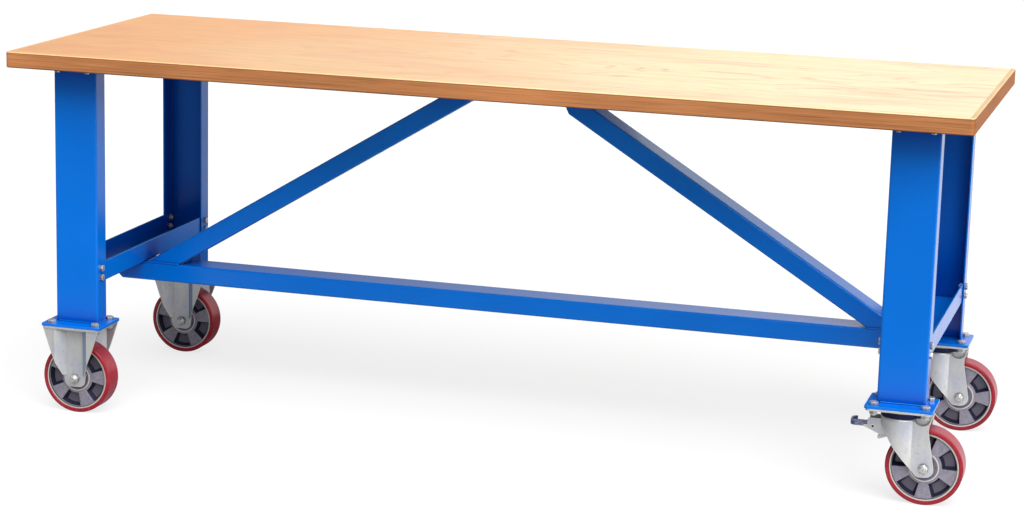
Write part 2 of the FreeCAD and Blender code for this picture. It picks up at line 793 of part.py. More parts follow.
def folded_sheet():
    """Middle panel, two flares and two wings of the front leg, upright above the flat part."""
    flare = math.atan2(bracket_wing_reach - bracket_foot_reach,
                       bracket_wing_fold - bracket_panel_fold)
    ease = bracket_sheet * math.tan(flare / 2)
    wing_inside = bracket_wing_reach - bracket_sheet
    panel_inside = bracket_foot_reach - bracket_sheet
    outside = [(bracket_top_half, bracket_wing_reach), (bracket_wing_fold, bracket_wing_reach),
               (bracket_panel_fold, bracket_foot_reach)]
    inside = [(bracket_panel_fold + ease, panel_inside), (bracket_wing_fold + ease, wing_inside),
              (bracket_top_half, wing_inside)]
    section = outside + [(-x, reach) for x, reach in reversed(outside)]
    section += [(-x, reach) for x, reach in reversed(inside)] + inside
    points = [Vector(x, -reach, bracket_flare_low) for x, reach in section]
    face = Part.Face(Part.makePolygon(points + points[:1]))
    return face.extrude(z_axis * (caster_plate_underside - bracket_flare_low))


def bracket_leg():
    """Front leg of the fixed bracket: folded above, flat round the axle, tapering outline."""
    foot = wheel_radius - lobe_below
    flat = block(-bracket_knee_half, bracket_knee_half, -bracket_foot_reach,
                 bracket_sheet - bracket_foot_reach, foot, bracket_flare_low + bracket_sheet)
    half = [(bracket_foot_half, foot, bracket_foot_corner),
            (bracket_waist_half, bracket_waist_height, bracket_bend_radius),
            (bracket_knee_half, bracket_knee_height, bracket_bend_radius),
            (bracket_top_half, caster_plate_underside, 0)]
    outline = half + [(-x, z, radius) for x, z, radius in reversed(half)]
    leg_body = folded_sheet().fuse(flat).common(prism(outline, foot_plate_depth))
    hole = Part.makeCylinder(axle_bore, foot_plate_depth, Vector(0, 0, wheel_radius), -y_axis)
    return leg_body.cut(hole).removeSplitter()


def bracket_shoulder():
    """Bend that carries the middle of the front leg out of the plate's edge."""
    edge, low = foot_plate_depth / 2, caster_plate_underside - bracket_shoulder_drop
    inside = bracket_foot_reach - bracket_sheet
    corners = [(edge, caster_height), (edge, caster_plate_underside), (bracket_foot_reach, low),
               (inside, low), (inside, caster_height)]
    points = [Vector(-bracket_wing_fold, -y, z) for y, z in corners]
    face = Part.Face(Part.makePolygon(points + points[:1]))
    return face.extrude(x_axis * (2 * bracket_wing_fold))


def fixed_bracket():
    """Pressed bracket: plate and two legs in one piece."""
    plate = caster_plate()
    front_leg, shoulder = bracket_leg(), bracket_shoulder()
    return plate.fuse([front_leg, shoulder, turned(front_leg, half_turn),
                       turned(shoulder, half_turn)]).removeSplitter()


# ---- swivel caster -----------------------------------------------------------------------------
def swivel_plate():
    """Caster plate with the upper ball race and the seat of the kingpin's head."""
    plate = caster_plate()
    race_low = crown_top + race_height + race_gap
    race = ring(race_outer_radius - bracket_sheet, race_inner_radius + bracket_sheet,
                race_low, caster_plate_underside)
    bore = Part.makeCylinder(kingpin_radius + hole_clearance, caster_plate_thickness + 2 * margin,
                             Vector(0, 0, caster_plate_underside - margin))
    seat = Part.makeCylinder(kingpin_head_radius + hole_clearance, kingpin_head_height + margin,
                             Vector(0, 0, caster_height - kingpin_head_height))
    return plate.fuse(race).cut(bore).cut(seat).removeSplitter()


def kingpin():
    """Pin through plate and crown, with its head on top and a riveted collar below."""
    collar_top = crown_top - fork_sheet - kingpin_play
    collar_low = collar_top - kingpin_collar_height
    shank = Part.makeCylinder(kingpin_radius, caster_height - collar_low,
                              Vector(0, 0, collar_low))
    head = Part.makeCylinder(kingpin_head_radius, kingpin_head_height,
                             Vector(0, 0, caster_height - kingpin_head_height))
    collar = Part.makeCylinder(kingpin_collar_radius, kingpin_collar_height,
                               Vector(0, 0, collar_low))
    return shank.fuse([head, collar]).removeSplitter()


def swivel_race():
    """Lower ball race with its dust skirt, on top of the crown."""
    return ring(race_outer_radius, race_inner_radius, crown_top, crown_top + race_height)


def keyhole(radius, half_gap, length, low, high):
    """Round crown that runs out into two parallel sides, from low to high."""
    disc = Part.makeCylinder(radius, high - low, Vector(0, 0, low))
    sides_block = block(0, length, -half_gap, half_gap, low, high)
    return disc.fuse(sides_block).removeSplitter()


def top_rim(solid):
    """Edges of the highest flat face."""
    highest = max(solid.Faces, key=lambda face: face.CenterOfMass.z)
    return highest.Edges


def swivel_fork():
    """Pressed fork: round crown, two legs that trail, a hollow above each for the nut."""
    foot = wheel_radius - lobe_below
    reach_x = swivel_trail + fork_heel + crown_radius
    outer = keyhole(crown_radius, fork_reach, reach_x, foot, crown_top)
    outer = outer.makeFillet(crown_bend, top_rim(outer)).cut(nut_scoops(0))
    inner = keyhole(crown_radius - fork_sheet, fork_gap / 2, reach_x + margin,
                    foot - margin, crown_top - fork_sheet)
    inner = inner.makeFillet(crown_bend - fork_sheet, top_rim(inner)).cut(nut_scoops(fork_sheet))
    shell = outer.cut(inner)
    past = crown_radius + margin
    ear_x = swivel_trail + ear_forward
    heel_x = swivel_trail + fork_heel
    outline = [(-past, crown_top + margin, 0), (ear_x + ear_lean, crown_top + margin, 0),
               (ear_x, crown_top - ear_length, fork_soft_radius),
               (heel_x, wheel_radius, fork_heel_radius / 2),
               (heel_x, foot, fork_heel_radius),
               (swivel_trail - fork_toe_back, foot, fork_toe_radius),
               (swivel_trail - fork_knee_back, wheel_radius + fork_knee_rise,
                fork_soft_radius),
               (-past, crown_top - crown_rim, 0)]
    fork = shell.common(prism(outline, foot_plate_depth))
    hole = Part.makeCylinder(axle_bore, foot_plate_depth,
                             Vector(swivel_trail, -foot_plate_depth / 2, wheel_radius), y_axis)
    bore = Part.makeCylinder(kingpin_radius + kingpin_clearance, crown_top,
                             Vector(0, 0, crown_top / 2))
    window_half = brake_cheek_inner + brake_cheek + hole_clearance
    brake_window = block(-past, -brake_web_back, -window_half, window_half,
                         0, crown_top - fork_sheet)
    return fork.cut([hole, bore, brake_window])


def nut_scoops(lining):
    """Round hollow in the top of each leg, under the mounting nut above it."""
    scoops = []
    for sign in (-1, 1):
        near = Vector(caster_bolt_pitch_x / 2 - scoop_shift,
                      sign * (fork_gap / 2 - scoop_lip - lining),
                      crown_top + scoop_radius - scoop_depth)
        scoops.append(Part.makeCylinder(scoop_radius + lining, crown_radius, near, y_axis * sign))
    return scoops


# ---- brake -------------------------------------------------------------------------------------
def brake_bracket():
    """Two cheeks and a web under the crown that carry the pedal's pivot."""
    crown_under = crown_top - fork_sheet
    reach = brake_cheek_inner + brake_cheek
    outline = [(-brake_web_back, crown_under, 0), (-brake_web_front, crown_under, 0),
               (-brake_web_front, brake_cheek_top, 0),
               (-brake_cheek_front, brake_cheek_top, brake_corner),
               (-brake_cheek_front, brake_nose_top, 0),
               (-brake_nose_front, brake_nose_top, 0), (-brake_nose_front, brake_nose_low, 0),
               (-brake_cheek_low_back, brake_cheek_low, brake_corner),
               (-brake_web_back, brake_cheek_low + 2 * brake_corner, brake_corner)]
    body = prism(outline, reach)
    hollow = block(-brake_nose_front - margin, margin, -brake_cheek_inner, brake_cheek_inner,
                   0, crown_under - brake_web_thickness)
    pin_hole = Part.makeCylinder(brake_pin_radius + press_clearance, 2 * (reach + margin),
                                 Vector(-brake_pivot_back, -reach - margin, brake_pivot_height),
                                 y_axis)
    return body.cut(hollow).cut(pin_hole)


def brake_pin():
    """Hollow pivot pin, flush with the outer faces of the cheeks."""
    half = brake_cheek_inner + brake_cheek
    pin = ring(brake_pin_radius, brake_pin_radius - brake_pin_wall, -half, half)
    return moved(turned(pin, quarter_turn, x_axis), -brake_pivot_back, 0, brake_pivot_height)


def pedal_tread():
    """Ribbed tread plate with a lip round its free end."""
    length = pedal_tread_reach - pedal_tread_back
    half, top = pedal_tread_half, pedal_tread_top

    def plan(inset, low, high):
        body = block(-length + inset, margin, -half + inset, half - inset, low, high)
        return body.makeFillet(pedal_tread_corner - inset,
                               upright_edges(body, lambda p: p.x < 0))

    past = block(0, 2 * margin, -half, half, 0, top + margin)
    tread = plan(0, top - pedal_sheet, top).cut(past)
    rim_end = block(-length, -length + pedal_lip_length, -half, half, 0, pedal_lip_top)
    lip = plan(0, top - pedal_sheet, pedal_lip_top).common(rim_end)
    lip = lip.cut(plan(pedal_sheet, top, pedal_lip_top + margin))
    rib_length = length - 2 * pedal_sheet
    ribs = [Part.makeCylinder(pedal_rib_radius, rib_length,
                              Vector(-rib_length, i * pedal_rib_pitch, top), x_axis)
            for i in (-1, 0, 1)]
    return moved(tread.fuse([lip] + ribs), -pedal_tread_back).removeSplitter()


def pedal_heel(half):
    """Web from the pivot that ends in a round-nosed bar pointing down and forward."""
    pivot = Vector(-brake_pivot_back, 0, brake_pivot_height)
    tip = Vector(-heel_tip_back, 0, heel_tip_height)
    root = Vector(-heel_root_back, 0, heel_root_height)
    across = Vector(root.z - tip.z, 0, tip.x - root.x).normalize() * (heel_thickness / 2)
    neck = Vector(0, 0, pedal_neck / 2)
    bar = [tip - across, tip + across, root + across, root - across]
    middle = (tip + root) / 2 - across
    web = [pivot - neck, pivot + neck, root - across, middle]
    pieces = [prism([(p.x, p.z, 0) for p in points], half) for points in (bar, web)]
    nose = Part.makeCylinder(heel_thickness / 2, 2 * half, tip - y_axis * half, y_axis)
    return pieces[0].fuse([pieces[1], nose])


def brake_pedal():
    """Foot pedal: tread, two arms round the pivot and a heel towards the wheel."""
    half = brake_cheek_inner - pedal_side_play
    neck = pedal_neck / 2
    pivot_x, pivot_z = -brake_pivot_back, brake_pivot_height
    arm_start = -pedal_tread_back - pedal_sheet
    arm_outline = [(arm_start, pedal_tread_top, 0), (arm_start, pedal_tread_top - pedal_sheet, 0),
                   (pivot_x - neck, pivot_z - neck, neck / 2),
                   (pivot_x + neck, pivot_z - neck, neck / 2),
                   (pivot_x + neck, pivot_z + neck, neck / 2),
                   (pivot_x - neck, pivot_z + neck, neck / 2)]
    arms = prism(arm_outline, half)
    body = pedal_tread().fuse([arms, pedal_heel(half - pedal_sheet)])
    bore = Part.makeCylinder(brake_pin_radius + kingpin_clearance, 2 * half + 2 * margin,
                             Vector(pivot_x, -half - margin, pivot_z), y_axis)
    hollow = block(-pedal_tread_back, pivot_x - neck, -half + pedal_sheet,
                   half - pedal_sheet, 0, pedal_tread_top - pedal_sheet)
    return body.cut(bore).cut(hollow).removeSplitter()


# ---- assembly ----------------------------------------------------------------------------------
def build():
    """All nodes by name, each a list of solids."""
    nodes = {}
    core, long_strips, short_strips = tabletop_pieces()
    nodes["tabletop_core"] = [core]
    nodes["tabletop_edging_long"] = long_strips
    nodes["tabletop_edging_short"] = short_strips
    nodes["top_screws"] = top_screws()

    one_leg, head_plate, foot_plate = leg(), leg_head_plate(), leg_foot_plate()
    nodes["leg_head_plates"] = [leg_to_table(head_plate, side, row)
                                for side in (left, right) for row in (front, rear)]
    for row_name, row in rows.items():
        for side_name, side in sides.items():
            place = row_name + "_" + side_name
            nodes["leg_" + place] = [leg_to_table(one_leg, side, row)]
            nodes["foot_plate_" + place] = [caster_to_table(foot_plate, side, row)]

    for side_name, side in sides.items():
        nodes["cross_member_" + side_name] = [cross_member(side)]
    nodes["cross_member_bolts"], nodes["cross_member_nuts"] = frame_bolts_and_nuts()
    nodes["lower_beam"] = [lower_beam()]
    nodes["brace_left"] = [brace(left, left_tip_drop)]
    nodes["brace_right"] = [brace(right, right_tip_drop)]
    nodes["brace_head_rail"] = [head_rail()]

    bolts, washers, nuts = caster_fasteners()
    nodes["caster_bolts"] = bolts
    nodes["caster_washers"] = washers
    nodes["caster_nuts"] = nuts

    rim, tyre, bearings, sleeve = wheel_rim(), wheel_tyre(), wheel_bearings(), axle_sleeve()
    for row_name, row in rows.items():
        for side_name, side in sides.items():
            place = row_name + "_" + side_name
            trail = swivel_trail if side == right else 0.0
            rest_rim = turned(rim, quarter_turn - pocket_angles[place], y_axis)
            for name, pieces in (("rim", [rest_rim]), ("tyre", [tyre]), ("bearings", bearings)):
                nodes["wheel_" + name + "_" + place] = [
                    caster_to_table(moved(piece, trail, 0, wheel_radius), side, row)
                    for piece in pieces]

    bracket = fixed_bracket()
    for row_name, row in rows.items():
        nodes["fixed_bracket_" + row_name] = [caster_to_table(bracket, left, row)]
    hardware = {"fixed_axle_sleeves": sleeve,
                "fixed_axle_bolts": [axle_bolt(bracket_foot_reach)],
                "fixed_axle_nuts": [axle_nut(bracket_foot_reach)]}
    for name, pieces in hardware.items():
        nodes[name] = [caster_to_table(moved(piece, 0, 0, wheel_radius), left, row)
                       for row in (front, rear) for piece in pieces]

    nodes["swivel_kingpins"] = [caster_to_table(kingpin(), right, row) for row in (front, rear)]
    swivel_pieces = {"swivel_plate": [swivel_plate()], "swivel_race": [swivel_race()],
                     "swivel_fork": [swivel_fork()], "brake_bracket": [brake_bracket()],
                     "brake_pin": [brake_pin()], "brake_pedal": [brake_pedal()]}
    axle_pieces = {"axle_sleeve": sleeve, "axle_bolt": [axle_bolt(fork_reach)],
                   "axle_nut": [axle_nut(fork_reach)]}
    for name, pieces in axle_pieces.items():
        swivel_pieces[name] = [moved(piece, swivel_trail, 0, wheel_radius) for piece in pieces]
    for row_name, row in rows.items():
        for name, pieces in swivel_pieces.items():
            nodes[name + "_" + row_name] = [caster_to_table(piece, right, row)
                                            for piece in pieces]
    return nodes


def export(nodes):
    """Write one STEP file per node."""
    os.makedirs("parts", exist_ok=True)
    for name, solids in nodes.items():
        shape = solids[0] if len(solids) == 1 else Part.makeCompound(solids)
        shape.exportStep("parts/" + name + ".step")


export(build())
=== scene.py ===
import math

import bpy
from bpy.props import FloatProperty, FloatVectorProperty, IntProperty, PointerProperty
from bpy.types import Operator, Panel, PropertyGroup
from mathutils import Matrix, Vector


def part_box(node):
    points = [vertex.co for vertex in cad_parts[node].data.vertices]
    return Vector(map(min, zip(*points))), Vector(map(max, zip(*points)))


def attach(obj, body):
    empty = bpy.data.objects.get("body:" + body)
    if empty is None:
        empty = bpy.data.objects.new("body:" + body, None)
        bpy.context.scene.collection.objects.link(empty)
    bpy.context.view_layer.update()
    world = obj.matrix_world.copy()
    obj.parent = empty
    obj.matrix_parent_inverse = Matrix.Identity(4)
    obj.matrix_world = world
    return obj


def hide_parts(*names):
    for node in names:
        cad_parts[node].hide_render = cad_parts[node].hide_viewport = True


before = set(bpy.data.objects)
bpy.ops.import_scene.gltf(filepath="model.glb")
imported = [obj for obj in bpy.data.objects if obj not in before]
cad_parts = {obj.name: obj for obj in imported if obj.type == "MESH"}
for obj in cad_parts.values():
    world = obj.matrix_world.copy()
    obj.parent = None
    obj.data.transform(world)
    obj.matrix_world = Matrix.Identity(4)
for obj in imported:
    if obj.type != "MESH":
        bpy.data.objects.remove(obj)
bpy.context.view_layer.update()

bl_info = {
    "name": "Mobile assembly table",
    "version": (1, 0, 0),
    "blender": (4, 5, 0),
    "location": "3D View > Sidebar > Table",
    "description": "Finishes, fasteners, welds and bearings of a mobile assembly table",
    "category": "Object",
}

MM = 0.001
WHITE = (1.0, 1.0, 1.0, 1.0)
FACE_SHARE = 0.475  # radius of a hexagon's turned face, as a share of its flats
ROWS = ("front", "rear")
SIDES = ("left", "right")
PLACES = ("front_left", "front_right", "rear_left", "rear_right")


# ---- sizes and colours a user may change ----
def length(name, default, description):
    """A length in millimetres, kept in metres."""
    return FloatProperty(name=name, description=description, default=default * MM,
                         min=0.0, precision=5, subtype="DISTANCE", unit="LENGTH")


def shade(name, default, description):
    """A colour as it shows on a screen."""
    return FloatVectorProperty(name=name, description=description, default=default, size=3,
                               min=0.0, max=1.0, subtype="COLOR_GAMMA")


class TableSizes(PropertyGroup):
    """Sizes of the fasteners, welds and bearings."""

    plate_pitch_x: length("Plate pitch, long way", 105.0, "Between caster bolts along the table")
    plate_pitch_y: length("Plate pitch, short way", 75.0, "Between caster bolts across the table")
    caster_plate: length("Caster plate", 4.0, "Thickness of a caster's plate")
    plate_bolt: length("Plate bolt", 5.0, "Radius of a foot plate's bolts")
    plate_flats: length("Plate flats", 16.0, "Across the flats of those bolts and nuts")
    plate_head: length("Plate head", 6.4, "Height of a plate bolt's head")
    plate_nut: length("Plate nut", 8.0, "Height of a plate nut")
    washer_radius: length("Washer", 10.0, "Radius of a washer")
    washer_sheet: length("Washer sheet", 2.0, "Thickness of a washer")
    frame_bolt: length("Frame bolt", 4.0, "Radius of a leg flange's bolts")
    frame_flats: length("Frame flats", 13.0, "Across the flats of those bolts and nuts")
    frame_head: length("Frame head", 5.3, "Height of a frame bolt's head")
    frame_nut: length("Frame nut", 6.5, "Height of a frame nut")
    frame_grip: length("Frame grip", 6.0, "Flange and cross-member together")
    flange: length("Leg flange", 45.0, "Depth of a leg's flange")
    bolt_rise: length("Bolt rise", 13.0, "Cross-member's underside to the lower bolt")
    bolt_step: length("Bolt step", 21.0, "Lower to upper frame bolt")
    top_screw: length("Top screw", 3.0, "Radius of a screw in the board")
    top_screw_flats: length("Screw flats", 10.0, "Across the flats of its head")
    top_screw_head: length("Screw head", 4.0, "Height of its head on its flange")
    top_screw_flange: length("Screw flange", 6.5, "Radius of its flange")
    top_screw_collar: length("Screw collar", 1.5, "Thickness of its flange")
    screw_bite: length("Screw bite", 25.0, "Its length in the wood")
    head_lead: length("Head plate lead", 31.5, "Head plate in front of the leg's web")
    head_depth: length("Head plate depth", 100.0, "Depth of a head plate")
    head_inset: length("Head screw inset", 19.0, "Head plate's edge to a row of screws")
    head_pitch: length("Head screw pitch", 70.0, "Between the two screws of a row")
    rail_inset: length("Rail screw inset", 25.0, "Head rail's end to its screws")
    rail_pitch: length("Rail screw pitch", 30.0, "Between the rail's screws across the table")
    axle: length("Axle", 6.0, "Radius of an axle bolt")
    axle_flats: length("Axle flats", 18.0, "Across the flats of its head and nut")
    axle_head: length("Axle head", 7.5, "Height of its head")
    axle_nut: length("Axle nut", 10.8, "Height of its nut with the collar")
    fixed_reach: length("Fixed reach", 32.0, "Middle of a fixed caster to its outer face")
    fork_reach: length("Fork reach", 33.0, "Middle of a swivel caster to its outer face")
    bolt_end: length("Bolt end", 2.5, "Thread beyond a nut")
    thread_pitch: length("Thread pitch", 1.5, "Between two ridges of a thread")
    thread_depth: length("Thread depth", 0.55, "Depth of a thread")
    weld: length("Weld", 2.4, "Radius of a weld bead")
    bearing_width: length("Bearing width", 14.0, "Width of a ball bearing")
    bearing_gap: length("Bearing gap", 14.0, "Between a wheel's two bearings")
    bearing_outer: length("Bearing, outside", 23.5, "Outer radius of a ball bearing")
    bearing_inner: length("Bearing, bore", 10.05, "Inner radius of a ball bearing")
    round_steps: IntProperty(name="Round steps", description="Sides of the turned pieces",
                             default=40, min=12, max=96)


class TableColours(PropertyGroup):
    """Colours of the finishes."""

    paint: shade("Paint", (0.0, 0.455, 0.88), "Gloss powder coat of the frame")
    veneer_warm: shade("Veneer, warm", (1.0, 0.755, 0.54), "Veneer towards the fixed casters")
    veneer_pale: shade("Veneer, pale", (1.0, 0.93, 0.735), "Veneer towards the swivel casters")
    edging: shade("Edging", (0.77, 0.505, 0.31), "Solid strips round the board")
    zinc: shade("Zinc", (0.84, 0.85, 0.86), "Zinc plate of the casters")
    bright_zinc: shade("Bright zinc", (0.74, 0.75, 0.77), "Zinc plate of the fasteners")
    pedal: shade("Pedal", (0.42, 0.46, 0.62), "Slate plating of the brake pedals")
    tread: shade("Tread", (0.63, 0.10, 0.17), "Polyurethane of the treads")
    rim: shade("Rim", (0.63, 0.61, 0.67), "Cast face of the rims")
    machined: shade("Machined ring", (0.88, 0.86, 0.82), "Turned rings of the rims")
    # The races' dark navy stands in for the deep shade between plate and crown: painted shade.
    race: shade("Race", (0.12, 0.13, 0.30), "Dark swivel races")
    steel: shade("Bearing steel", (0.70, 0.70, 0.72), "Ground rings of the bearings")
    floor: shade("Floor", (0.95, 0.95, 0.95), "Studio floor")


def linear(colour):
    """Screen colour as the shader wants it."""
    def one(value):
        return value / 12.92 if value <= 0.04045 else ((value + 0.055) / 1.055) ** 2.4

    return (one(colour[0]), one(colour[1]), one(colour[2]), 1.0)


def dimmed(colour, share):
    """Shader colour made darker or lighter by a share."""
    return (colour[0] * share, colour[1] * share, colour[2] * share, 1.0)


# ---- shaping pieces ----
def clear_selection():
    """Nothing selected and nothing in edit mode."""
    if bpy.context.object and bpy.context.object.mode != "OBJECT":
        bpy.ops.object.mode_set(mode="OBJECT")
    bpy.ops.object.select_all(action="DESELECT")


def pick(piece):
    """Make one piece the only one selected."""
    clear_selection()
    piece.select_set(True)
    bpy.context.view_layer.objects.active = piece


def settle(piece, where):
    """Move a piece and keep its place in its mesh."""
    pick(piece)
    piece.matrix_world = where
    bpy.ops.object.transform_apply(location=True, rotation=True, scale=True)


def turned_piece(name, profile, steps):
    """Solid turned about Z from (radius, height) corners, the first and last on the axis
    or joined to each other where the piece is a ring."""
    is_ring = profile[0][0] > 0
    clear_selection()
    bpy.ops.mesh.primitive_plane_add(size=MM, location=(profile[0][0], 0, profile[0][1]))
    piece = bpy.context.active_object
    piece.name = name
    bpy.ops.object.mode_set(mode="EDIT")
    bpy.ops.mesh.select_all(action="SELECT")
    bpy.ops.mesh.merge(type="CENTER")
    corners = list(profile) + ([profile[0]] if is_ring else [])
    for before, after in zip(corners, corners[1:]):
        step = (after[0] - before[0], 0, after[1] - before[1])
        bpy.ops.mesh.extrude_region_move(TRANSFORM_OT_translate={"value": step})
    bpy.ops.mesh.select_all(action="SELECT")
    bpy.ops.mesh.spin(steps=steps, angle=2 * math.pi, center=(0, 0, 0), axis=(0, 0, 1))
    bpy.ops.mesh.select_all(action="SELECT")
    bpy.ops.mesh.remove_doubles(threshold=0.01 * MM)
    bpy.ops.mesh.normals_make_consistent(inside=False)
    bpy.ops.object.mode_set(mode="OBJECT")
    settle(piece, piece.matrix_world)
    bpy.ops.object.shade_smooth_by_angle(angle=math.radians(35))
    return piece


def cut_with(piece, tool, how):
    """Boolean of a piece with a tool that is then thrown away."""
    pick(piece)
    cut = piece.modifiers.new("Cut", "BOOLEAN")
    cut.operation = how
    cut.solver = "EXACT"
    cut.object = tool
    bpy.ops.object.modifier_apply(modifier=cut.name)
    bpy.data.objects.remove(tool)
    return piece


def join(name, pieces):
    """One object out of several."""
    clear_selection()
    for piece in pieces:
        piece.select_set(True)
    bpy.context.view_layer.objects.active = pieces[0]
    if len(pieces) > 1:
        bpy.ops.object.join()
    pieces[0].name = name
    return pieces[0]


def copy_of(master, where):
    """Copy of a master, with a mesh of its own, at a place."""
    pick(master)
    bpy.ops.object.duplicate(linked=False)
    copy = bpy.context.active_object
    settle(copy, where)
    return copy


def place_copies(name, master, places):
    """Copies of a master at several places, joined, and the master thrown away."""
    copies = [copy_of(master, where) for where in places]
    bpy.data.objects.remove(master)
    return join(name, copies)


def facing(place, direction, turn=0.0):
    """Matrix that sets a piece made along Z at a place and points it in a direction."""
    aim = Vector(direction).to_track_quat("Z", "Y").to_matrix().to_4x4()
    return Matrix.Translation(place) @ aim @ Matrix.Rotation(turn, 4, "Z")


def centre(node):
    """Middle of a node's box."""
    low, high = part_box(node)
    return (low + high) / 2


def four_places(middle, half_x, half_y):
    """The four corners round a middle, as (x, y)."""
    return [(middle.x + sx * half_x, middle.y + sy * half_y) for sx in (-1, 1) for sy in (-1, 1)]


def thread(radius, low, high, pitch, depth):
    """Profile of a ridged thread between two heights, going down."""
    count = max(2, round((high - low) / pitch))
    step = (high - low) / count
    corners = []
    for i in range(count):
        top = high - i * step
        corners += [(radius - depth, top), (radius, top - 0.38 * step), (radius, top - 0.62 * step)]
    return corners + [(radius - depth, low)]


def hex_blank(name, flats, height, rounded_top, rounded_bottom, steps):
    """Hexagon from Z = 0 up with turned chamfers on its corners."""
    clear_selection()
    bpy.ops.mesh.primitive_cylinder_add(vertices=6, radius=flats / math.sqrt(3), depth=height,
                                        location=(0, 0, height / 2))
    blank = bpy.context.active_object
    blank.name = name
    settle(blank, blank.matrix_world)
    corner, flat = flats / math.sqrt(3) * 1.02, flats * FACE_SHARE
    drop = (corner - flat) * 0.5
    profile = [(0, height)]
    profile += [(flat, height), (corner, height - drop)] if rounded_top else [(corner, height)]
    profile += [(corner, drop), (flat, 0)] if rounded_bottom else [(corner, 0)]
    profile += [(0, 0)]
    chamfers = turned_piece(name + "_chamfers", profile, steps)
    return cut_with(blank, chamfers, "INTERSECT")


def hex_bolt(name, radius, flats, head, shank, sizes, washer_face=True):
    """Bolt with a chamfered head from Z = 0 up and a threaded shank below."""
    blank = hex_blank(name, flats, head, True, False, sizes.round_steps)
    tip = 0.8 * sizes.thread_pitch
    threaded = min(0.6 * shank, shank - tip)
    profile = [(0, 0.4 * head), (radius, 0.4 * head), (radius, -shank + tip + threaded)]
    profile += thread(radius, -shank + tip, -shank + tip + threaded, sizes.thread_pitch,
                      sizes.thread_depth)
    profile += [(radius - 1.3 * sizes.thread_depth, -shank), (0, -shank)]
    rod = turned_piece(name + "_rod", profile, sizes.round_steps)
    parts = [blank, rod]
    if washer_face:
        disc = FACE_SHARE * flats
        corners = [(0, 0.5 * MM), (disc, 0.5 * MM), (disc, 0), (0, 0)]
        parts.append(turned_piece(name + "_face", corners, sizes.round_steps))
    return join(name, parts)


def hex_nut(name, radius, flats, height, sizes):
    """Nut from Z = 0 up, chamfered on both sides, with a countersunk bore."""
    blank = hex_blank(name, flats, height, True, True, sizes.round_steps)
    past = MM
    wide, clear = radius * 1.1, radius + 0.05 * MM
    sink = wide - clear
    profile = [(0, height + past), (wide, height + past), (wide, height), (clear, height - sink),
               (clear, sink), (wide, 0), (wide, -past), (0, -past)]
    return cut_with(blank, turned_piece(name + "_bore", profile, sizes.round_steps), "DIFFERENCE")


def dress(piece, body, node, finish):
    """Put a finished piece on its body, in place of a node, with its finish."""
    piece.data.materials.clear()
    piece.data.materials.append(finish)
    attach(piece, body)
    if node:
        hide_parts(node)


def fasten(name, master, places, node):
    """Set a fastener at several places of the frame, in place of a node."""
    dress(place_copies(name, master, places), "frame", node, bright_zinc())


def coat(node, finish):
    """Give a node its finish."""
    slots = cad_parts[node].material_slots
    if not slots:
        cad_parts[node].data.materials.append(finish)
    for slot in slots:
        slot.material = finish


# ---- finishes ----
class Nodes:
    """Short ways to add and link the nodes of a tree."""

    def __init__(self, tree):
        self.tree = tree

    def node(self, kind, inputs=None, **settings):
        """Add a node, set its options, then fill or link its inputs."""
        made = self.tree.nodes.new(kind)
        for key, value in settings.items():
            setattr(made, key, value)
        for key, value in (inputs or {}).items():
            self.feed(made.inputs[key], value)
        return made

    def feed(self, socket, value):
        """Link an output into a socket, or set the socket's value."""
        if isinstance(value, bpy.types.NodeSocket):
            self.tree.links.new(value, socket)
        else:
            socket.default_value = value

    def math(self, operation, first, second=0.0):
        """Result of a Math node."""
        return self.node("ShaderNodeMath", {0: first, 1: second}, operation=operation).outputs[0]

    def times(self, first, *others):
        """Product of several values."""
        for other in others:
            first = self.math("MULTIPLY", first, other)
        return first

    def span(self, value, low, high, to_low=0.0, to_high=1.0, smooth=False):
        """A value brought from one range to another, held at its ends."""
        ends = {"Value": value, "From Min": low, "From Max": high, "To Min": to_low, "To Max": to_high}
        kind = "SMOOTHSTEP" if smooth else "LINEAR"
        return self.node("ShaderNodeMapRange", ends, interpolation_type=kind).outputs[0]

    def band(self, value, low, high, rise, fall):
        """A share of 1 between two values, which rises and falls inside them."""
        return self.times(self.span(value, low, low + rise), self.span(value, high, high - fall))

    def axes(self, vector=None):
        """The three coordinates of a vector."""
        return tuple(self.node("ShaderNodeSeparateXYZ", {0: vector or self.place}).outputs)


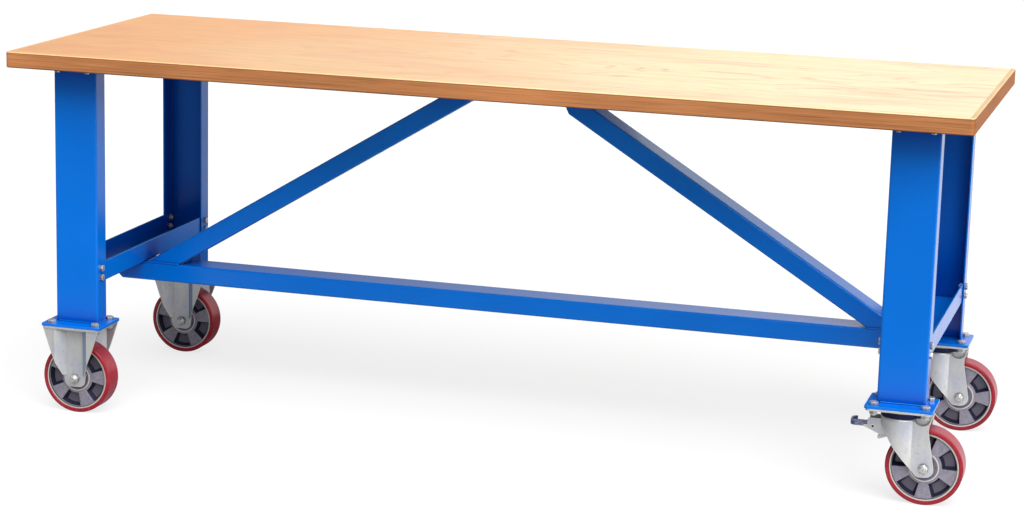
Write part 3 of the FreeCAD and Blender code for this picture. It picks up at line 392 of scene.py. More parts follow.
class Finish(Nodes):
    """A material with short ways to shade and roughen it."""

    def __init__(self, name):
        self.material = bpy.data.materials.new(name)
        self.material.use_nodes = True
        super().__init__(self.material.node_tree)
        self.shader = self.tree.nodes["Principled BSDF"]
        self.place = self.node("ShaderNodeTexCoord").outputs["Object"]

    def set(self, **values):
        """Fill or link the shader's own sockets."""
        for key, value in values.items():
            socket = key.replace("_", " ").title().replace("Ior", "IOR")
            self.feed(self.shader.inputs[socket], value)

    def mix(self, share, first, second):
        """Colour between two colours."""
        return self.node("ShaderNodeMix", {0: share, 6: first, 7: second}, data_type="RGBA").outputs[2]

    def shades(self, base, value, low, high, darker, lighter):
        """A colour that a value takes from a darker to a lighter shade."""
        return self.mix(self.span(value, low, high), dimmed(base, darker), dimmed(base, lighter))

    def stain(self, colour, tint, value, low, high, share):
        """A colour stained by a share where a value is high."""
        return self.mix(self.span(value, low, high, 0.0, share), colour, tint)

    def stretched(self, scale, shift=(0, 0, 0)):
        """Object coordinates scaled and moved."""
        moves = {"Vector": self.place, "Location": shift, "Scale": scale}
        return self.node("ShaderNodeMapping", moves).outputs[0]

    def noise(self, scale, detail=3.0, vector=None, roughness=0.55):
        """Value of a noise, about 0.5 on average."""
        look = {"Vector": vector or self.place, "Scale": scale, "Detail": detail, "Roughness": roughness}
        return self.node("ShaderNodeTexNoise", look).outputs[0]

    def faces(self):
        """The three parts of the way that a face points."""
        return self.axes(self.node("ShaderNodeNewGeometry").outputs["Normal"])

    def edges(self, reach, share):
        """A share along sharp edges and nothing on flat faces, for painted edge highlights."""
        soft = self.node("ShaderNodeBevel", {"Radius": reach}, samples=6).outputs[0]
        flat = self.node("ShaderNodeNewGeometry").outputs["Normal"]
        near = self.node("ShaderNodeVectorMath", {0: soft, 1: flat}, operation="DOT_PRODUCT")
        return self.span(near.outputs["Value"], 0.995, 0.91, 0.0, share)

    def corners(self, reach, share):
        """A share in inner corners and hollows, for painted shade."""
        bare = self.node("ShaderNodeAmbientOcclusion", {"Distance": reach}, samples=8).outputs["AO"]
        return self.span(bare, 0.92, 0.50, 0.0, share)

    def relief(self, height, depth, strength, soften=0.0):
        """Bump from a height, over edges softened by a radius."""
        inputs = {"Height": height, "Distance": depth, "Strength": strength}
        if soften:
            inputs["Normal"] = self.node("ShaderNodeBevel", {"Radius": soften}, samples=4).outputs[0]
        return self.node("ShaderNodeBump", inputs).outputs[0]


def paint_finish(colours):
    """Gloss powder coat: slow shifts of tone, painted highlights on edges, painted shade in corners and
    hollows, and orange peel.
    """
    f = Finish("Blue powder coat")
    base = linear(colours.paint)
    colour = f.shades(base, f.noise(3.0, 2.0), 0.35, 0.65, 0.94, 1.05)
    dull = f.span(f.noise(9.0, 6.0, f.stretched((1, 1, 0.35)), 0.7), 0.60, 0.78)
    colour = f.mix(f.times(dull, 0.10), colour, dimmed(base, 0.78))
    # Painted highlight: sharp edges are lightened to a brighter azure.
    colour = f.mix(f.edges(2.0 * MM, 0.45), colour, (0.0, 0.32, 1.0, 1.0))
    # Painted shade: faces that don't point up turn navy in hollows such as the channel insides.
    hollow_shade = f.times(f.corners(150 * MM, 0.62), f.span(f.faces()[2], 0.5, 0.9, 1.0, 0.0))
    colour = f.mix(hollow_shade, colour, (0.0, 0.004, 0.24, 1.0))
    # Painted shade: inner corners darkened nearly to black.
    colour = f.mix(f.corners(6 * MM, 0.45), colour, (0.0, 0.003, 0.04, 1.0))
    gloss = f.span(f.math("ADD", f.noise(26.0), dull), 0.3, 1.6, 0.15, 0.32)
    f.set(base_color=colour, roughness=gloss, specular_ior_level=0.36,
          normal=f.relief(f.noise(420.0, 2.0), 0.12 * MM, 0.22, 1.2 * MM))
    return f.material


def veneer_finish(colours):
    """Varnished veneer: warm to pale along the board, cathedral figure and fine pores."""
    f = Finish("Varnished veneer")
    x, y = f.axes()[:2]
    drift = f.times(f.math("SUBTRACT", f.noise(1.6, 3.0), 0.5), 1.1)
    along = f.span(f.math("ADD", x, drift), -0.85, 0.45, smooth=True)
    colour = f.mix(along, linear(colours.veneer_warm), linear(colours.veneer_pale))
    blotch = f.noise(2.2, 3.0, f.stretched((1.0, 3.2, 1.0)), 0.6)
    colour = f.stain(colour, (0.90, 0.42, 0.24, 1.0), blotch, 0.50, 0.70, 0.42)

    warp = f.noise(1.1, 2.0, f.stretched((1.0, 4.0, 1.0), (3.1, 0.7, 0.0)))
    figure = f.math("ADD", f.times(y, 9.0), f.times(warp, 8.5))
    ragged = f.noise(5.0, 5.0, f.stretched((1.0, 30.0, 1.0)), 0.7)
    figure = f.math("ADD", figure, f.times(ragged, 0.35))
    lines = f.math("PINGPONG", f.times(figure, 4.2), 1.0)
    lines = f.times(f.span(lines, 0.70, 1.0, smooth=True), f.span(x, -0.6, 0.3, 0.35, 1.0))
    fade = f.span(f.noise(3.0, 3.0, f.stretched((0.6, 5.0, 1.0), (0.0, 2.0, 0.0))), 0.34, 0.62)
    colour = f.mix(f.times(lines, fade, 0.62), colour, (0.70, 0.31, 0.18, 1.0))

    streak = f.noise(2.6, 4.0, f.stretched((1.0, 15.0, 1.0), (0.0, 0.0, 5.0)), 0.7)
    colour = f.stain(colour, (0.78, 0.40, 0.19, 1.0), streak, 0.50, 0.68, 0.34)
    fibre = f.noise(16.0, 5.0, f.stretched((0.8, 34.0, 8.0)), 0.65)
    colour = f.stain(colour, (0.58, 0.29, 0.13, 1.0), fibre, 0.50, 0.76, 0.50)
    f.set(base_color=colour, roughness=f.span(f.noise(14.0, 4.0), 0.3, 0.7, 0.34, 0.50),
          specular_ior_level=0.45, coat_weight=0.25, coat_roughness=0.22,
          normal=f.relief(fibre, 0.18 * MM, 0.35))
    return f.material


def edging_finish(colours):
    """Solid strips: long streaks, darker pores, a dark lower edge, a painted highlight on the upper
    arris, painted shade below it and on right-hand faces.
    """
    f = Finish("Varnished edging")
    x, _, z = f.axes()
    turned = f.faces()
    low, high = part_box("tabletop_edging_long")
    slow = f.noise(2.6, 3.0, f.stretched((1.0, 1.0, 6.0)))
    colour = f.shades(linear(colours.edging), slow, 0.35, 0.65, 0.86, 1.16)
    streak = f.noise(9.0, 8.0, f.stretched((0.42, 0.42, 62.0)), 0.75)
    colour = f.stain(colour, (0.20, 0.075, 0.028, 1.0), streak, 0.47, 0.66, 0.72)
    light = f.noise(11.0, 4.0, f.stretched((0.5, 0.5, 80.0), (0.0, 0.0, 4.0)))
    colour = f.stain(colour, (0.86, 0.52, 0.27, 1.0), light, 0.56, 0.72, 0.35)
    knot = f.noise(5.0, 2.0, f.stretched((1.2, 1.2, 9.0), (7.0, 0.0, 1.0)))
    colour = f.stain(colour, (0.16, 0.06, 0.025, 1.0), knot, 0.66, 0.80, 0.55)
    colour = f.stain(colour, (0.10, 0.03, 0.02, 1.0), z, low.z + 3.8 * MM, low.z + 0.6 * MM, 0.75)
    # Painted shade: a dark line under the top arris, where a groove would lie in shade.
    groove_shade = f.band(z, high.z - 4.8 * MM, high.z - 2.2 * MM, 0.8 * MM, 0.8 * MM)
    colour = f.mix(f.times(groove_shade, 0.55), colour, (0.24, 0.10, 0.04, 1.0))
    # Painted highlight: the upper arris of the front faces is lightened.
    arris_highlight = f.times(f.span(z, high.z - 2.2 * MM, high.z - 1.4 * MM),
                    f.span(turned[2], 0.80, 0.95, 0.85, 0.0))
    colour = f.mix(arris_highlight, colour, (0.95, 0.76, 0.42, 1.0))
    # Painted shade: faces turned to the right are darker and redder.
    colour = f.stain(colour, (0.36, 0.10, 0.008, 1.0), turned[0], 0.4, 0.8, 0.66)
    strip = f.span(x, high.x - 11 * MM, high.x - 10.5 * MM, 0.82, 0.5)
    varnish = f.mix(f.span(x, -0.9, 0.5, smooth=True), linear(colours.veneer_warm),
                    linear(colours.veneer_pale))
    colour = f.mix(f.times(f.span(turned[2], 0.30, 0.90), strip), colour, varnish)
    f.set(base_color=colour, roughness=f.span(streak, 0.3, 0.7, 0.50, 0.66),
          specular_ior_level=0.18, normal=f.relief(streak, 0.22 * MM, 0.4, 0.8 * MM))
    return f.material


def zinc_finish(name, colour, sheen, grain, blue_reflection=0.0):
    """Zinc plate: faint clouds, drawn scratches, painted cream highlights on edges, painted shade in
    corners, a painted blue reflection and shade on left-hand flanks.
    """
    f = Finish(name)
    base = linear(colour)
    cloud = f.span(f.noise(34.0, 5.0, f.stretched((1.0, 1.0, 0.55)), 0.65), 0.34, 0.66)
    warm = (base[0] * 1.06, base[1] * 1.03, base[2] * 0.97, 1.0)
    cool = (base[0] * 0.87, base[1] * 0.88, base[2] * 0.98, 1.0)
    tint = f.mix(cloud, warm, cool)
    scratch = f.noise(60.0, 4.0, f.stretched((9.0, 9.0, 0.8)), 0.7)
    tint = f.stain(tint, dimmed(base, 0.6), scratch, 0.55, 0.8, grain)
    tint = f.stain(tint, dimmed(base, 0.50), f.noise(150.0, 2.0), 0.62, 0.72, 0.38)
    bloom = f.noise(46.0, 5.0, f.stretched((1.0, 1.0, 0.4), (2.0, 5.0, 1.0)), 0.75)
    tint = f.stain(tint, (0.95, 0.93, 0.90, 1.0), bloom, 0.56, 0.74, 0.45)
    # Painted reflection and shade: flanks turned to the left take a steel blue.
    if blue_reflection:
        tint = f.stain(tint, (0.22, 0.33, 0.52, 1.0), f.faces()[0], -0.15, -0.45, blue_reflection)
    # Painted highlight: sharp edges lightened to cream.
    tint = f.mix(f.edges(2.4 * MM, 0.85), tint, (1.0, 0.97, 0.78, 1.0))
    # Painted shade: inner corners, crevices round nuts and folds darkened.
    tint = f.mix(f.corners(5 * MM, 0.55), tint, dimmed(base, 0.12))
    f.set(base_color=tint, metallic=0.60, roughness=f.span(scratch, 0.3, 0.75, sheen, sheen + 0.22),
          normal=f.relief(scratch, 0.08 * MM, 0.35, 0.7 * MM))
    return f.material


def pedal_finish(colours):
    """Slate plated pedal with painted highlights on its edges and a bright heel."""
    f = Finish("Slate zinc")
    tone = f.shades(linear(colours.pedal), f.noise(60.0, 3.0), 0.35, 0.65, 0.75, 1.15)
    heel = f.span(f.axes()[2], 148 * MM, 143 * MM)
    tone = f.mix(heel, tone, linear(colours.zinc))
    # Painted highlight: sharp edges lightened.
    tone = f.mix(f.edges(1.2 * MM, 0.8), tone, (0.80, 0.80, 0.78, 1.0))
    scratch = f.noise(90.0, 4.0, f.stretched((1.0, 6.0, 1.0)), 0.7)
    f.set(base_color=tone, metallic=0.5, roughness=f.span(scratch, 0.3, 0.75, 0.32, 0.52),
          normal=f.relief(scratch, 0.08 * MM, 0.35, 0.6 * MM))
    return f.material


def tread_finish(colours):
    """Moulded polyurethane: even red with dusty running surface and faint mottling."""
    f = Finish("Red polyurethane tread")
    colour = f.shades(linear(colours.tread), f.noise(18.0, 4.0), 0.35, 0.68, 0.80, 1.10)
    dust = f.noise(75.0, 5.0, None, 0.7)
    colour = f.stain(colour, (0.64, 0.26, 0.32, 1.0), dust, 0.52, 0.74, 0.16)
    f.set(base_color=colour, roughness=f.span(dust, 0.3, 0.75, 0.28, 0.44),
          specular_ior_level=0.30, coat_weight=0.18, coat_roughness=0.2,
          sheen_weight=0.22, sheen_roughness=0.4, sheen_tint=(1.0, 0.50, 0.68, 1.0),
          normal=f.relief(f.noise(300.0, 2.0), 0.1 * MM, 0.3))
    return f.material


def rim_finish(colours, place):
    """Cast rim: grey cast spokes, painted shade in the pockets, the groove and the hub, bright turned
    rings, round its axle.
    """
    f = Finish("Cast rim " + place.replace("_", " "))
    hub = centre("wheel_tyre_" + place)
    x, y, z = f.axes(f.stretched((1, 1, 1), tuple(-v for v in hub)))
    radius = f.math("SQRT", f.math("ADD", f.times(x, x), f.times(z, z)))
    depth = f.math("ABSOLUTE", y)
    skin = f.noise(170.0, 4.0, None, 0.65)
    colour = f.shades(linear(colours.rim), skin, 0.35, 0.68, 0.82, 1.12)
    colour = f.stain(colour, (0.13, 0.11, 0.14, 1.0), f.noise(30.0, 4.0), 0.48, 0.7, 0.30)
    # Painted shade in the pockets: walls nearly black, floors a darker grey.
    sunk = f.span(depth, 19.6 * MM, 18.6 * MM)
    pocket = f.band(radius, 35.0 * MM, 67.4 * MM, 1.0 * MM, 0.5 * MM)
    dark = f.mix(f.span(depth, 7.5 * MM, 6.4 * MM), (0.008, 0.010, 0.042, 1.0),
                 (0.170, 0.158, 0.210, 1.0))
    colour = f.mix(f.times(sunk, pocket, 0.94), colour, dark)
    # Painted shade: a dark line in the groove inside the outer ring.
    groove_shade = f.band(radius, 67.0 * MM, 68.4 * MM, 0.3 * MM, 0.3 * MM)
    colour = f.mix(f.times(groove_shade, 0.8), colour, (0.03, 0.03, 0.06, 1.0))
    # Painted shade inside the hub ring.
    colour = f.stain(colour, (0.16, 0.14, 0.24, 1.0), radius, 28.5 * MM, 28.2 * MM, 0.75)
    collar = f.times(f.band(radius, 28.2 * MM, 31.4 * MM, 0.3 * MM, 0.5 * MM),
                     f.span(depth, 20.4 * MM, 20.9 * MM))
    turned = f.math("MAXIMUM", f.span(radius, 68.1 * MM, 68.4 * MM), collar)
    bright = f.shades(linear(colours.machined), f.noise(900.0, 1.0), 0.3, 0.7, 0.9, 1.04)
    colour = f.mix(turned, colour, bright)
    f.set(base_color=colour, metallic=0.35, roughness=f.span(turned, 0.0, 1.0, 0.52, 0.34),
          normal=f.relief(skin, 0.35 * MM, 0.45, 0.9 * MM))
    return f.material


def steel_finish(name, colour, metallic, low, high):
    """Ground or greased steel, finely streaked round."""
    f = Finish(name)
    base = linear(colour)
    fine, film = f.noise(240.0, 3.0), f.noise(40.0, 4.0)
    tint = f.shades(base, fine, 0.35, 0.7, 0.75, 1.1)
    tint = f.stain(tint, dimmed(base, 0.4), film, 0.5, 0.7, 0.3)
    f.set(base_color=tint, metallic=metallic, roughness=f.span(film, 0.3, 0.7, low, high),
          normal=f.relief(fine, 0.06 * MM, 0.3, 0.4 * MM))
    return f.material


finishes = {}


def finish(name, maker, *values):
    """The named finish, made on first use."""
    if name not in finishes:
        finishes[name] = maker(*values)
    return finishes[name]


def paint():
    """Powder coat of the frame."""
    return finish("paint", paint_finish, bpy.context.scene.table_colours)


def zinc(name, colour, *look):
    """The named zinc plating, in one of the table's colours."""
    plating = getattr(bpy.context.scene.table_colours, colour)
    return finish(name, zinc_finish, name, plating, *look)


def bright_zinc():
    """Plating of the fasteners."""
    return zinc("Bright zinc", "bright_zinc", 0.20, 0.25)


# ---- operators ----
class TABLE_OT_worktop(Operator):
    """Varnish the board and its edge strips"""

    bl_idname = "table.worktop"
    bl_label = "Worktop"

    def execute(self, context):
        colours = context.scene.table_colours
        coat("tabletop_core", veneer_finish(colours))
        edging = edging_finish(colours)
        coat("tabletop_edging_long", edging)
        coat("tabletop_edging_short", edging)
        return {"FINISHED"}


class TABLE_OT_frame_paint(Operator):
    """Paint the legs, plates, cross-members, beam, braces and head rail"""

    bl_idname = "table.frame_paint"
    bl_label = "Frame paint"

    def execute(self, context):
        for place in PLACES:
            coat("leg_" + place, paint())
            coat("foot_plate_" + place, paint())
        for node in ("leg_head_plates", "cross_member_left", "cross_member_right", "lower_beam",
                     "brace_left", "brace_right", "brace_head_rail"):
            coat(node, paint())
        return {"FINISHED"}


class TABLE_OT_welds(Operator):
    """Lay weld beads where the frame's pieces meet"""

    bl_idname = "table.welds"
    bl_label = "Weld beads"

    def bead(self, start, end, radius):
        """Rippled bead between two points."""
        start, end = Vector(start), Vector(end)
        run = (end - start).length
        ripple = 2.6 * MM
        count = max(4, round(run / ripple))
        profile = [(0, 0), (0.6 * radius, 0.15 * ripple)]
        for i in range(1, count):
            height = run * i / count
            profile += [(radius, height - 0.2 * ripple), (0.86 * radius, height + 0.25 * ripple)]
        profile += [(0.6 * radius, run - 0.15 * ripple), (0, run)]
        bead = turned_piece("bead", profile, 10)
        settle(bead, facing(start, end - start))
        return bead

    def execute(self, context):
        radius = context.scene.table_sizes.weld
        beads = []

        def lay(start, end, thickness=radius):
            beads.append(self.bead(start, end, thickness))

        for place in PLACES:
            low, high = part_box("leg_" + place)
            web, flange_end = (low.y, high.y) if place.startswith("front") else (high.y, low.y)
            inward = 1 if flange_end > web else -1
            for z in (low.z + 0.3 * radius, high.z - 0.3 * radius):
                lay((low.x + 6 * MM, web, z), (high.x - 6 * MM, web, z))
                for x in (low.x, high.x):
                    lay((x, web + 6 * MM * inward, z), (x, flange_end - 2 * MM * inward, z))
        beam_low, beam_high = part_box("lower_beam")
        for side in SIDES:
            low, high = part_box("cross_member_" + side)
            x0, x1 = max(low.x, beam_low.x) + 3 * MM, min(high.x, beam_high.x) - 3 * MM
            z = low.z - 0.2 * radius
            for y in (beam_low.y + 0.2 * radius, beam_high.y - 0.2 * radius):
                lay((x0, y, z), (x1, y, z))
            low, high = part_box("brace_" + side)
            foot, head = low.z + 0.3 * radius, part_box("brace_head_rail")[0].z
            inner, outer = self.edge_x(side, foot, False), self.edge_x(side, foot, True)
            outer_head = self.edge_x(side, head, True)
            for x, z in ((inner, foot), (outer, foot), (outer_head, head)):
                lay((x, low.y + 6 * MM, z), (x, high.y - 6 * MM, z))
            for y in (low.y - 0.2 * radius, high.y + 0.2 * radius):
                lay((outer, y, foot), (inner, y, foot))
            tip = Vector((outer, high.y - 0.3 * radius, foot))
            way = Vector((outer_head - outer, 0, head - foot)).normalized()
            lay(tip - 5 * MM * way, tip + 20 * MM * way, 1.35 * radius)
        dress(join("weld_beads", beads), "frame", None, paint())
        return {"FINISHED"}

    def edge_x(self, side, height, outer):
        """Place along the table of a brace's outer or inner edge at a height."""
        middle = centre("brace_head_rail").x
        places = [corner.co.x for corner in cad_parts["brace_" + side].data.vertices
                  if abs(corner.co.z - height) < 2 * MM]
        if not places:
            raise RuntimeError("the brace has no edge at this height")
        places.sort(key=lambda x: abs(x - middle))
        return places[-1] if outer else places[0]


class TABLE_OT_frame_bolts(Operator):
    """Bolt the cross-members to the leg flanges"""

    bl_idname = "table.frame_bolts"
    bl_label = "Frame bolts"

    def execute(self, context):
        sizes = context.scene.table_sizes
        shank = sizes.frame_grip + sizes.frame_nut + sizes.bolt_end
        bolt = hex_bolt("cross_member_bolt", sizes.frame_bolt, sizes.frame_flats, sizes.frame_head,
                        shank, sizes)
        nut = hex_nut("cross_member_nut", sizes.frame_bolt, sizes.frame_flats, sizes.frame_nut, sizes)
        bolt_places, nut_places = [], []
        turn = 0.0
        for place in PLACES:
            low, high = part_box("leg_" + place)
            side = "left" if place.endswith("left") else "right"
            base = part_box("cross_member_" + side)[0].z + sizes.bolt_rise
            y = low.y + sizes.flange / 2 if place.startswith("front") else high.y - sizes.flange / 2
            for x, outward in ((low.x, -1), (high.x, 1)):
                for z in (base, base + sizes.bolt_step):
                    turn += 0.37
                    bolt_places.append(facing((x, y, z), (outward, 0, 0), turn))
                    nut_places.append(facing((x - outward * sizes.frame_grip, y, z),
                                             (-outward, 0, 0), 1.7 * turn))
        fasten("cross_member_bolt_set", bolt, bolt_places, "cross_member_bolts")
        fasten("cross_member_nut_set", nut, nut_places, "cross_member_nuts")
        return {"FINISHED"}


class TABLE_OT_plate_bolts(Operator):
    """Bolt the casters to the foot plates"""

    bl_idname = "table.plate_bolts"
    bl_label = "Caster plate bolts"

    def execute(self, context):
        sizes = context.scene.table_sizes
        foot_low, foot_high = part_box("foot_plate_front_left")
        grip = foot_high.z - foot_low.z + sizes.caster_plate + sizes.washer_sheet
        bolt = hex_bolt("caster_bolt", sizes.plate_bolt, sizes.plate_flats, sizes.plate_head,
                        grip + sizes.plate_nut + sizes.bolt_end, sizes)
        nut = hex_nut("caster_nut", sizes.plate_bolt, sizes.plate_flats, sizes.plate_nut, sizes)
        soft, sheet = 0.3 * MM, sizes.washer_sheet
        hole, rim = sizes.plate_bolt + 0.5 * MM, sizes.washer_radius
        profile = [(hole, soft), (hole + soft, 0), (rim - soft, 0), (rim, soft), (rim, sheet - soft),
                   (rim - soft, sheet), (hole + soft, sheet), (hole, sheet - soft)]
        washer = turned_piece("caster_washer", profile, sizes.round_steps)
        bolts, washers, nuts = [], [], []
        seat = foot_low.z - sizes.caster_plate
        turn = 0.0
        for place in PLACES:
            middle = centre("foot_plate_" + place)
            for x, y in four_places(middle, sizes.plate_pitch_x / 2, sizes.plate_pitch_y / 2):
                turn += 0.53
                bolts.append(facing((x, y, foot_high.z), (0, 0, 1), turn))
                washers.append(facing((x, y, seat), (0, 0, -1)))
                nuts.append(facing((x, y, seat - sheet), (0, 0, -1), 1.9 * turn))
        for master, places, kind in ((bolt, bolts, "bolt"), (washer, washers, "washer"),
                                     (nut, nuts, "nut")):
            fasten("caster_%s_set" % kind, master, places, "caster_%ss" % kind)
        return {"FINISHED"}


class TABLE_OT_top_screws(Operator):
    """Screw the head plates and the head rail to the board"""

    bl_idname = "table.top_screws"
    bl_label = "Top screws"

    def execute(self, context):
        sizes = context.scene.table_sizes
        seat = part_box("leg_head_plates")[0].z
        rail_low, rail_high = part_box("brace_head_rail")
        first = -sizes.head_lead + sizes.head_inset
        last = sizes.head_depth - sizes.head_lead - sizes.head_inset
        plate_places, rail_places = [], []
        turn = 0.0  # every screw stops at a turn of its own
        for place in PLACES:
            low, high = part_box("leg_" + place)
            middle = (low.x + high.x) / 2
            for offset in (first, last):
                y = low.y + offset if place.startswith("front") else high.y - offset
                for sx in (-1, 1):
                    turn += 0.61
                    plate_places.append(facing((middle + sx * sizes.head_pitch / 2, y, seat),
                                               (0, 0, -1), turn))
        middle = centre("brace_head_rail")
        reach = (rail_high.x - rail_low.x) / 2 - sizes.rail_inset
        for x, y in four_places(middle, reach, sizes.rail_pitch / 2):
            turn += 0.61
            rail_places.append(facing((x, y, rail_low.z), (0, 0, -1), turn))
        sets = []
        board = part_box("tabletop_core")[0].z
        for name, places, height in (("head_plate_screw", plate_places, board - seat),
                                     ("head_rail_screw", rail_places, board - rail_low.z)):
            flange, sheet = sizes.top_screw_flange, sizes.top_screw_collar
            screw = hex_bolt(name, sizes.top_screw, sizes.top_screw_flats,
                             sheet + sizes.top_screw_head, height + sizes.screw_bite,
                             sizes, washer_face=False)
            profile = [(0, 0), (flange - 0.3 * MM, 0), (flange, 0.3 * MM), (flange, 0.5 * sheet),
                       (0.86 * flange, sheet), (0, sheet)]
            collar = turned_piece(name + "_flange", profile, sizes.round_steps)
            sets.append(place_copies(name + "_set", join(name, [screw, collar]), places))
        dress(join("top_screw_set", sets), "frame", "top_screws", bright_zinc())
        return {"FINISHED"}


class TABLE_OT_casters(Operator):
    """Plate the brackets, forks, races and brakes"""

    bl_idname = "table.casters"
    bl_label = "Casters"

    def execute(self, context):
        colours = context.scene.table_colours
        # Painted shade: the races are given the dark navy of the shade between plate and crown.
        race = steel_finish("Dark race", colours.race, 0.6, 0.35, 0.6)
        slate = pedal_finish(colours)
        for row in ROWS:
            coat("fixed_bracket_" + row, zinc("Bracket zinc", "zinc", 0.34, 0.30, 0.8))
            for node in ("swivel_plate_", "swivel_fork_", "brake_bracket_"):
                coat(node + row, zinc("Caster zinc", "zinc", 0.34, 0.30))
            coat("brake_pedal_" + row, slate)
            coat("swivel_race_" + row, race)
            coat("brake_pin_" + row, bright_zinc())
            coat("axle_sleeve_" + row, bright_zinc())
        coat("swivel_kingpins", bright_zinc())
        coat("fixed_axle_sleeves", bright_zinc())
        return {"FINISHED"}


class TABLE_OT_axles(Operator):
    """Fit the axle bolts and their collared nuts"""

    bl_idname = "table.axles"
    bl_label = "Axle bolts"

    def nut(self, sizes):
        """Hexagon with a rounded collar for the locking ring."""
        hexagon = 0.70 * sizes.axle_nut
        nut = hex_nut("axle_nut", sizes.axle, sizes.axle_flats, hexagon, sizes)
        wide, clear, top = 0.46 * sizes.axle_flats, sizes.axle + 0.05 * MM, sizes.axle_nut
        profile = [(clear, 0.6 * hexagon), (wide, 0.6 * hexagon), (wide, top - 1.4 * MM),
                   (wide - 1.2 * MM, top), (clear + 0.4 * MM, top), (clear, top - 0.5 * MM)]
        return join("axle_nut", [nut, turned_piece("axle_collar", profile, sizes.round_steps)])

    def execute(self, context):
        sizes = context.scene.table_sizes
        for side, reach in (("left", sizes.fixed_reach), ("right", sizes.fork_reach)):
            shank = 2 * reach + sizes.axle_nut + sizes.bolt_end
            bolt = hex_bolt("axle_bolt", sizes.axle, sizes.axle_flats, sizes.axle_head, shank, sizes)
            nut = self.nut(sizes)
            hubs = [centre("wheel_tyre_%s_%s" % (row, side)) for row in ROWS]
            bolt_places = [facing(hub + Vector((0, reach, 0)), (0, 1, 0), 0.3) for hub in hubs]
            nut_places = [facing(hub - Vector((0, reach, 0)), (0, -1, 0), 0.8) for hub in hubs]
            if side == "left":
                fasten("fixed_axle_bolt_set", bolt, bolt_places, "fixed_axle_bolts")
                fasten("fixed_axle_nut_set", nut, nut_places, "fixed_axle_nuts")
                continue
            for i, row in enumerate(ROWS):
                for master, places, kind in ((bolt, bolt_places, "bolt"), (nut, nut_places, "nut")):
                    copy = copy_of(master, places[i])
                    copy.name = "swivel_axle_%s_%s" % (kind, row)
                    dress(copy, "fork_" + row, "axle_%s_%s" % (kind, row),
                          bright_zinc())
            bpy.data.objects.remove(bolt)
            bpy.data.objects.remove(nut)
        return {"FINISHED"}


class TABLE_OT_wheels(Operator):
    """Finish the rims and treads and fit the shielded bearings"""

    bl_idname = "table.wheels"
    bl_label = "Wheels"

    def bearing(self, sizes):
        """One bearing from Z = 0 up, its shielded face on top."""
        bore, outside, width = sizes.bearing_inner, sizes.bearing_outer, sizes.bearing_width
        soft = 0.5 * MM
        # millimetres in from the outside or out from the bore, and down from the face
        rim = ((2.6, 0), (3.0, 0.4), (3.0, 1.2), (3.6, 0.7))
        lip = ((4.4, 0.7), (3.8, 1.3), (3.2, 1.3), (3.2, 0.3), (2.9, 0))
        profile = [(bore + soft, 0), (outside - soft, 0), (outside, soft), (outside, width - soft),
                   (outside - soft, width)]
        profile += [(outside - x * MM, width - z * MM) for x, z in rim]
        profile += [(bore + x * MM, width - z * MM) for x, z in lip]
        profile += [(bore + soft, width), (bore, width - soft), (bore, soft)]
        return turned_piece("bearing", profile, sizes.round_steps)

    def execute(self, context):
        sizes, colours = context.scene.table_sizes, context.scene.table_colours
        tread = tread_finish(colours)
        steel = steel_finish("Bearing steel", colours.steel, 0.9, 0.25, 0.42)
        bearing = self.bearing(sizes)
        for place in PLACES:
            coat("wheel_tyre_" + place, tread)
            coat("wheel_rim_" + place, rim_finish(colours, place))
            hub = centre("wheel_tyre_" + place)
            pair = []
            for outward in (-1, 1):
                start = hub + Vector((0, outward * sizes.bearing_gap / 2, 0))
                pair.append(copy_of(bearing, facing(start, (0, outward, 0))))
            dress(join("shielded_bearings_" + place, pair), "wheel_" + place,
                  "wheel_bearings_" + place, steel)
        bpy.data.objects.remove(bearing)
        return {"FINISHED"}


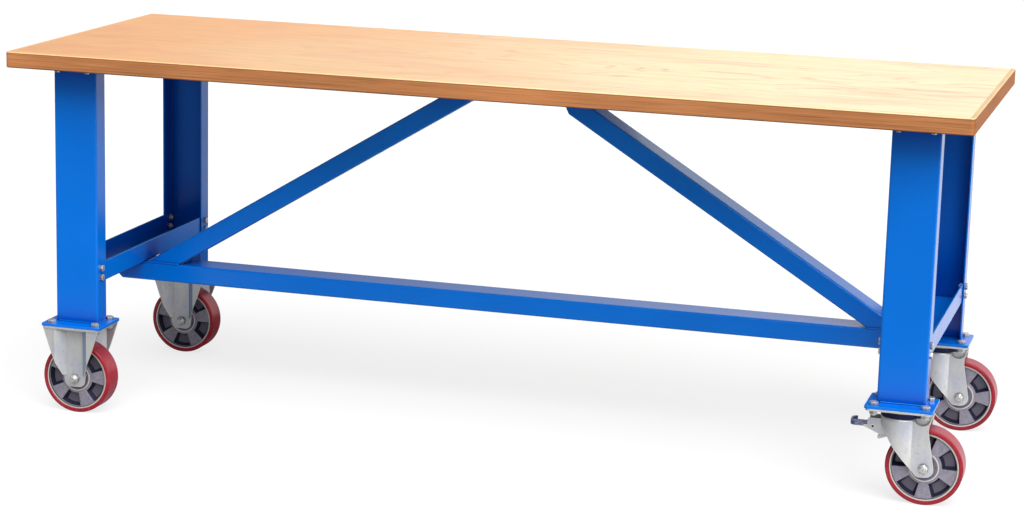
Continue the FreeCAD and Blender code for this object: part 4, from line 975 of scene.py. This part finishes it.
class TABLE_OT_stage(Operator):
    """Set the floor, the light and the camera"""

    bl_idname = "table.stage"
    bl_label = "Stage"

    def floor(self, colours):
        """Pale floor that keeps the table's shadow, with painted light and a painted shadow seen in
        reflections.
        """
        clear_selection()
        bpy.ops.mesh.primitive_plane_add(size=60.0, location=(0, 0, 0))
        floor = bpy.context.active_object
        floor.name = "studio_floor"
        bpy.ops.object.mode_set(mode="EDIT")
        bpy.ops.mesh.select_all(action="SELECT")
        bpy.ops.mesh.subdivide(number_cuts=3)
        bpy.ops.object.mode_set(mode="OBJECT")
        f = Finish("Studio floor")
        rays = f.node("ShaderNodeLightPath").outputs
        seen = f.math("MAXIMUM", rays["Is Camera Ray"], rays["Is Transmission Ray"])
        mirrored = rays["Is Glossy Ray"]
        x, y = f.axes()[:2]
        # In reflections the floor glows by place: painted light in patches near the table and to its
        # right, painted shadow under and just behind it.
        near = f.times(f.span(y, -1.5, -0.95, 0.05, 1.0), f.span(y, -0.2, 0.4, 1.0, 0.12))
        wings = f.math("MAXIMUM", f.span(x, -1.15, -0.95, 1.0, 0.25), f.span(x, 0.55, 0.75, 0.25, 1.0))
        near = f.times(near, wings, f.span(x, -1.6, -1.1, 0.25, 1.0))
        aside = f.times(f.span(x, 0.6, 0.9), f.span(y, -0.9, -0.5))
        lit = f.math("MAXIMUM", f.math("MAXIMUM", near, aside), f.span(y, 1.45, 2.1, 0.05, 0.8))
        base = linear(colours.floor)
        tone = f.shades(dimmed(base, 0.46), f.noise(1.5, 3.0), 0.3, 0.7, 0.97, 1.0)
        tone = f.mix(seen, tone, dimmed(base, 0.32))
        tone = f.mix(mirrored, tone, dimmed(base, 0.02))
        glow = f.math("ADD", f.times(seen, 0.74), f.times(mirrored, lit))
        f.set(base_color=tone, roughness=0.9, specular_ior_level=0.1, emission_color=WHITE,
              emission_strength=glow)
        floor.data.materials.append(f.material)

    def world(self):
        """Soft even light, seen white by the camera and darker in front in reflections."""
        world = bpy.data.worlds.new("Studio")
        bpy.context.scene.world = world
        world.use_nodes = True
        world.node_tree.nodes.clear()
        sky = Nodes(world.node_tree)
        rays = sky.node("ShaderNodeLightPath").outputs
        x, y, z = sky.axes(sky.node("ShaderNodeTexCoord").outputs["Generated"])
        back = sky.times(sky.span(z, 0.36, 0.6, 1.0, 0.25), sky.span(y, -0.5, 0.2, 0.12, 1.0),
                         sky.span(x, -0.45, -0.15, 0.15, 1.0))
        mirrored = sky.math("MAXIMUM", back, sky.span(x, 0.35, 0.75, 0.0, 0.9))
        seen = sky.math("MAXIMUM", rays["Is Camera Ray"], rays["Is Transmission Ray"])
        plain = sky.node("ShaderNodeMix", {0: rays["Is Glossy Ray"], 2: 0.38, 3: mirrored})
        strength = sky.node("ShaderNodeMix", {0: seen, 2: plain.outputs[0], 3: 1.0})
        glow = sky.node("ShaderNodeBackground", {"Color": WHITE, "Strength": strength.outputs[0]})
        sky.node("ShaderNodeOutputWorld", {"Surface": glow.outputs[0]})

    def lamps(self):
        """A broad soft lamp from the front and above, and a weak one from the right."""
        for name, energy, softness, way in (("key_light", 3.14, 55, (0.32, -0.51, 0.80)),
                                            ("side_light", 0.85, 40, (0.92, -0.22, 0.26))):
            clear_selection()
            bpy.ops.object.light_add(type="SUN", location=3 * Vector(way))
            lamp = bpy.context.active_object
            lamp.name = name
            lamp.data.energy = energy
            lamp.data.angle = math.radians(softness)
            lamp.rotation_euler = Vector(way).to_track_quat("Z", "Y").to_euler()

    def camera(self):
        """Camera at the working view of the table."""
        yaw, pitch, roll = math.radians(16.226), math.radians(12.269), math.radians(1.506)
        eye = (1.5786, -5.4223, 1.5982)
        focal_pixels, frame_pixels = 2601.4, 1024
        level = math.cos(pitch)
        ahead = Vector((-math.sin(yaw) * level, math.cos(yaw) * level, -math.sin(pitch)))
        right = Vector((math.cos(yaw), math.sin(yaw), 0))
        up = right.cross(ahead)
        side = right * math.cos(roll) + up * math.sin(roll)
        top = up * math.cos(roll) - right * math.sin(roll)
        bpy.ops.object.camera_add(location=eye)
        camera = bpy.context.active_object
        camera.name = "camera"
        turned = Matrix((side, top, -ahead)).transposed().to_4x4()
        camera.matrix_world = Matrix.Translation(eye) @ turned
        camera.data.sensor_width = 36.0
        camera.data.sensor_fit = "HORIZONTAL"
        camera.data.lens = focal_pixels * camera.data.sensor_width / frame_pixels
        camera.data.clip_end = 200.0
        bpy.context.scene.camera = camera

    def execute(self, context):
        self.floor(context.scene.table_colours)
        self.world()
        self.lamps()
        self.camera()
        context.scene.view_settings.view_transform = "Standard"
        return {"FINISHED"}


OPERATORS = (TABLE_OT_worktop, TABLE_OT_frame_paint, TABLE_OT_welds, TABLE_OT_frame_bolts,
             TABLE_OT_plate_bolts, TABLE_OT_top_screws, TABLE_OT_casters, TABLE_OT_axles,
             TABLE_OT_wheels, TABLE_OT_stage)


class TABLE_PT_panel(Panel):
    """Lists the table's operators and settings in the sidebar"""

    bl_idname = "TABLE_PT_panel"
    bl_label = "Assembly table"
    bl_space_type = "VIEW_3D"
    bl_region_type = "UI"
    bl_category = "Table"

    def draw(self, context):
        column = self.layout.column()
        for operator in OPERATORS:
            column.operator(operator.bl_idname)
        for group in (context.scene.table_sizes, context.scene.table_colours):
            for name in group.__annotations__:
                column.prop(group, name)


CLASSES = (TableSizes, TableColours) + OPERATORS + (TABLE_PT_panel,)


def register():
    """Add the classes and their settings to Blender."""
    for one in CLASSES:
        bpy.utils.register_class(one)
    bpy.types.Scene.table_sizes = PointerProperty(type=TableSizes)
    bpy.types.Scene.table_colours = PointerProperty(type=TableColours)


def unregister():
    """Take them out again."""
    del bpy.types.Scene.table_colours
    del bpy.types.Scene.table_sizes
    for one in reversed(CLASSES):
        bpy.utils.unregister_class(one)


def main():
    """Build everything in order."""
    register()
    for operator in OPERATORS:
        group, name = operator.bl_idname.split(".")
        getattr(getattr(bpy.ops, group), name)()


if __name__ == "__main__":
    main()
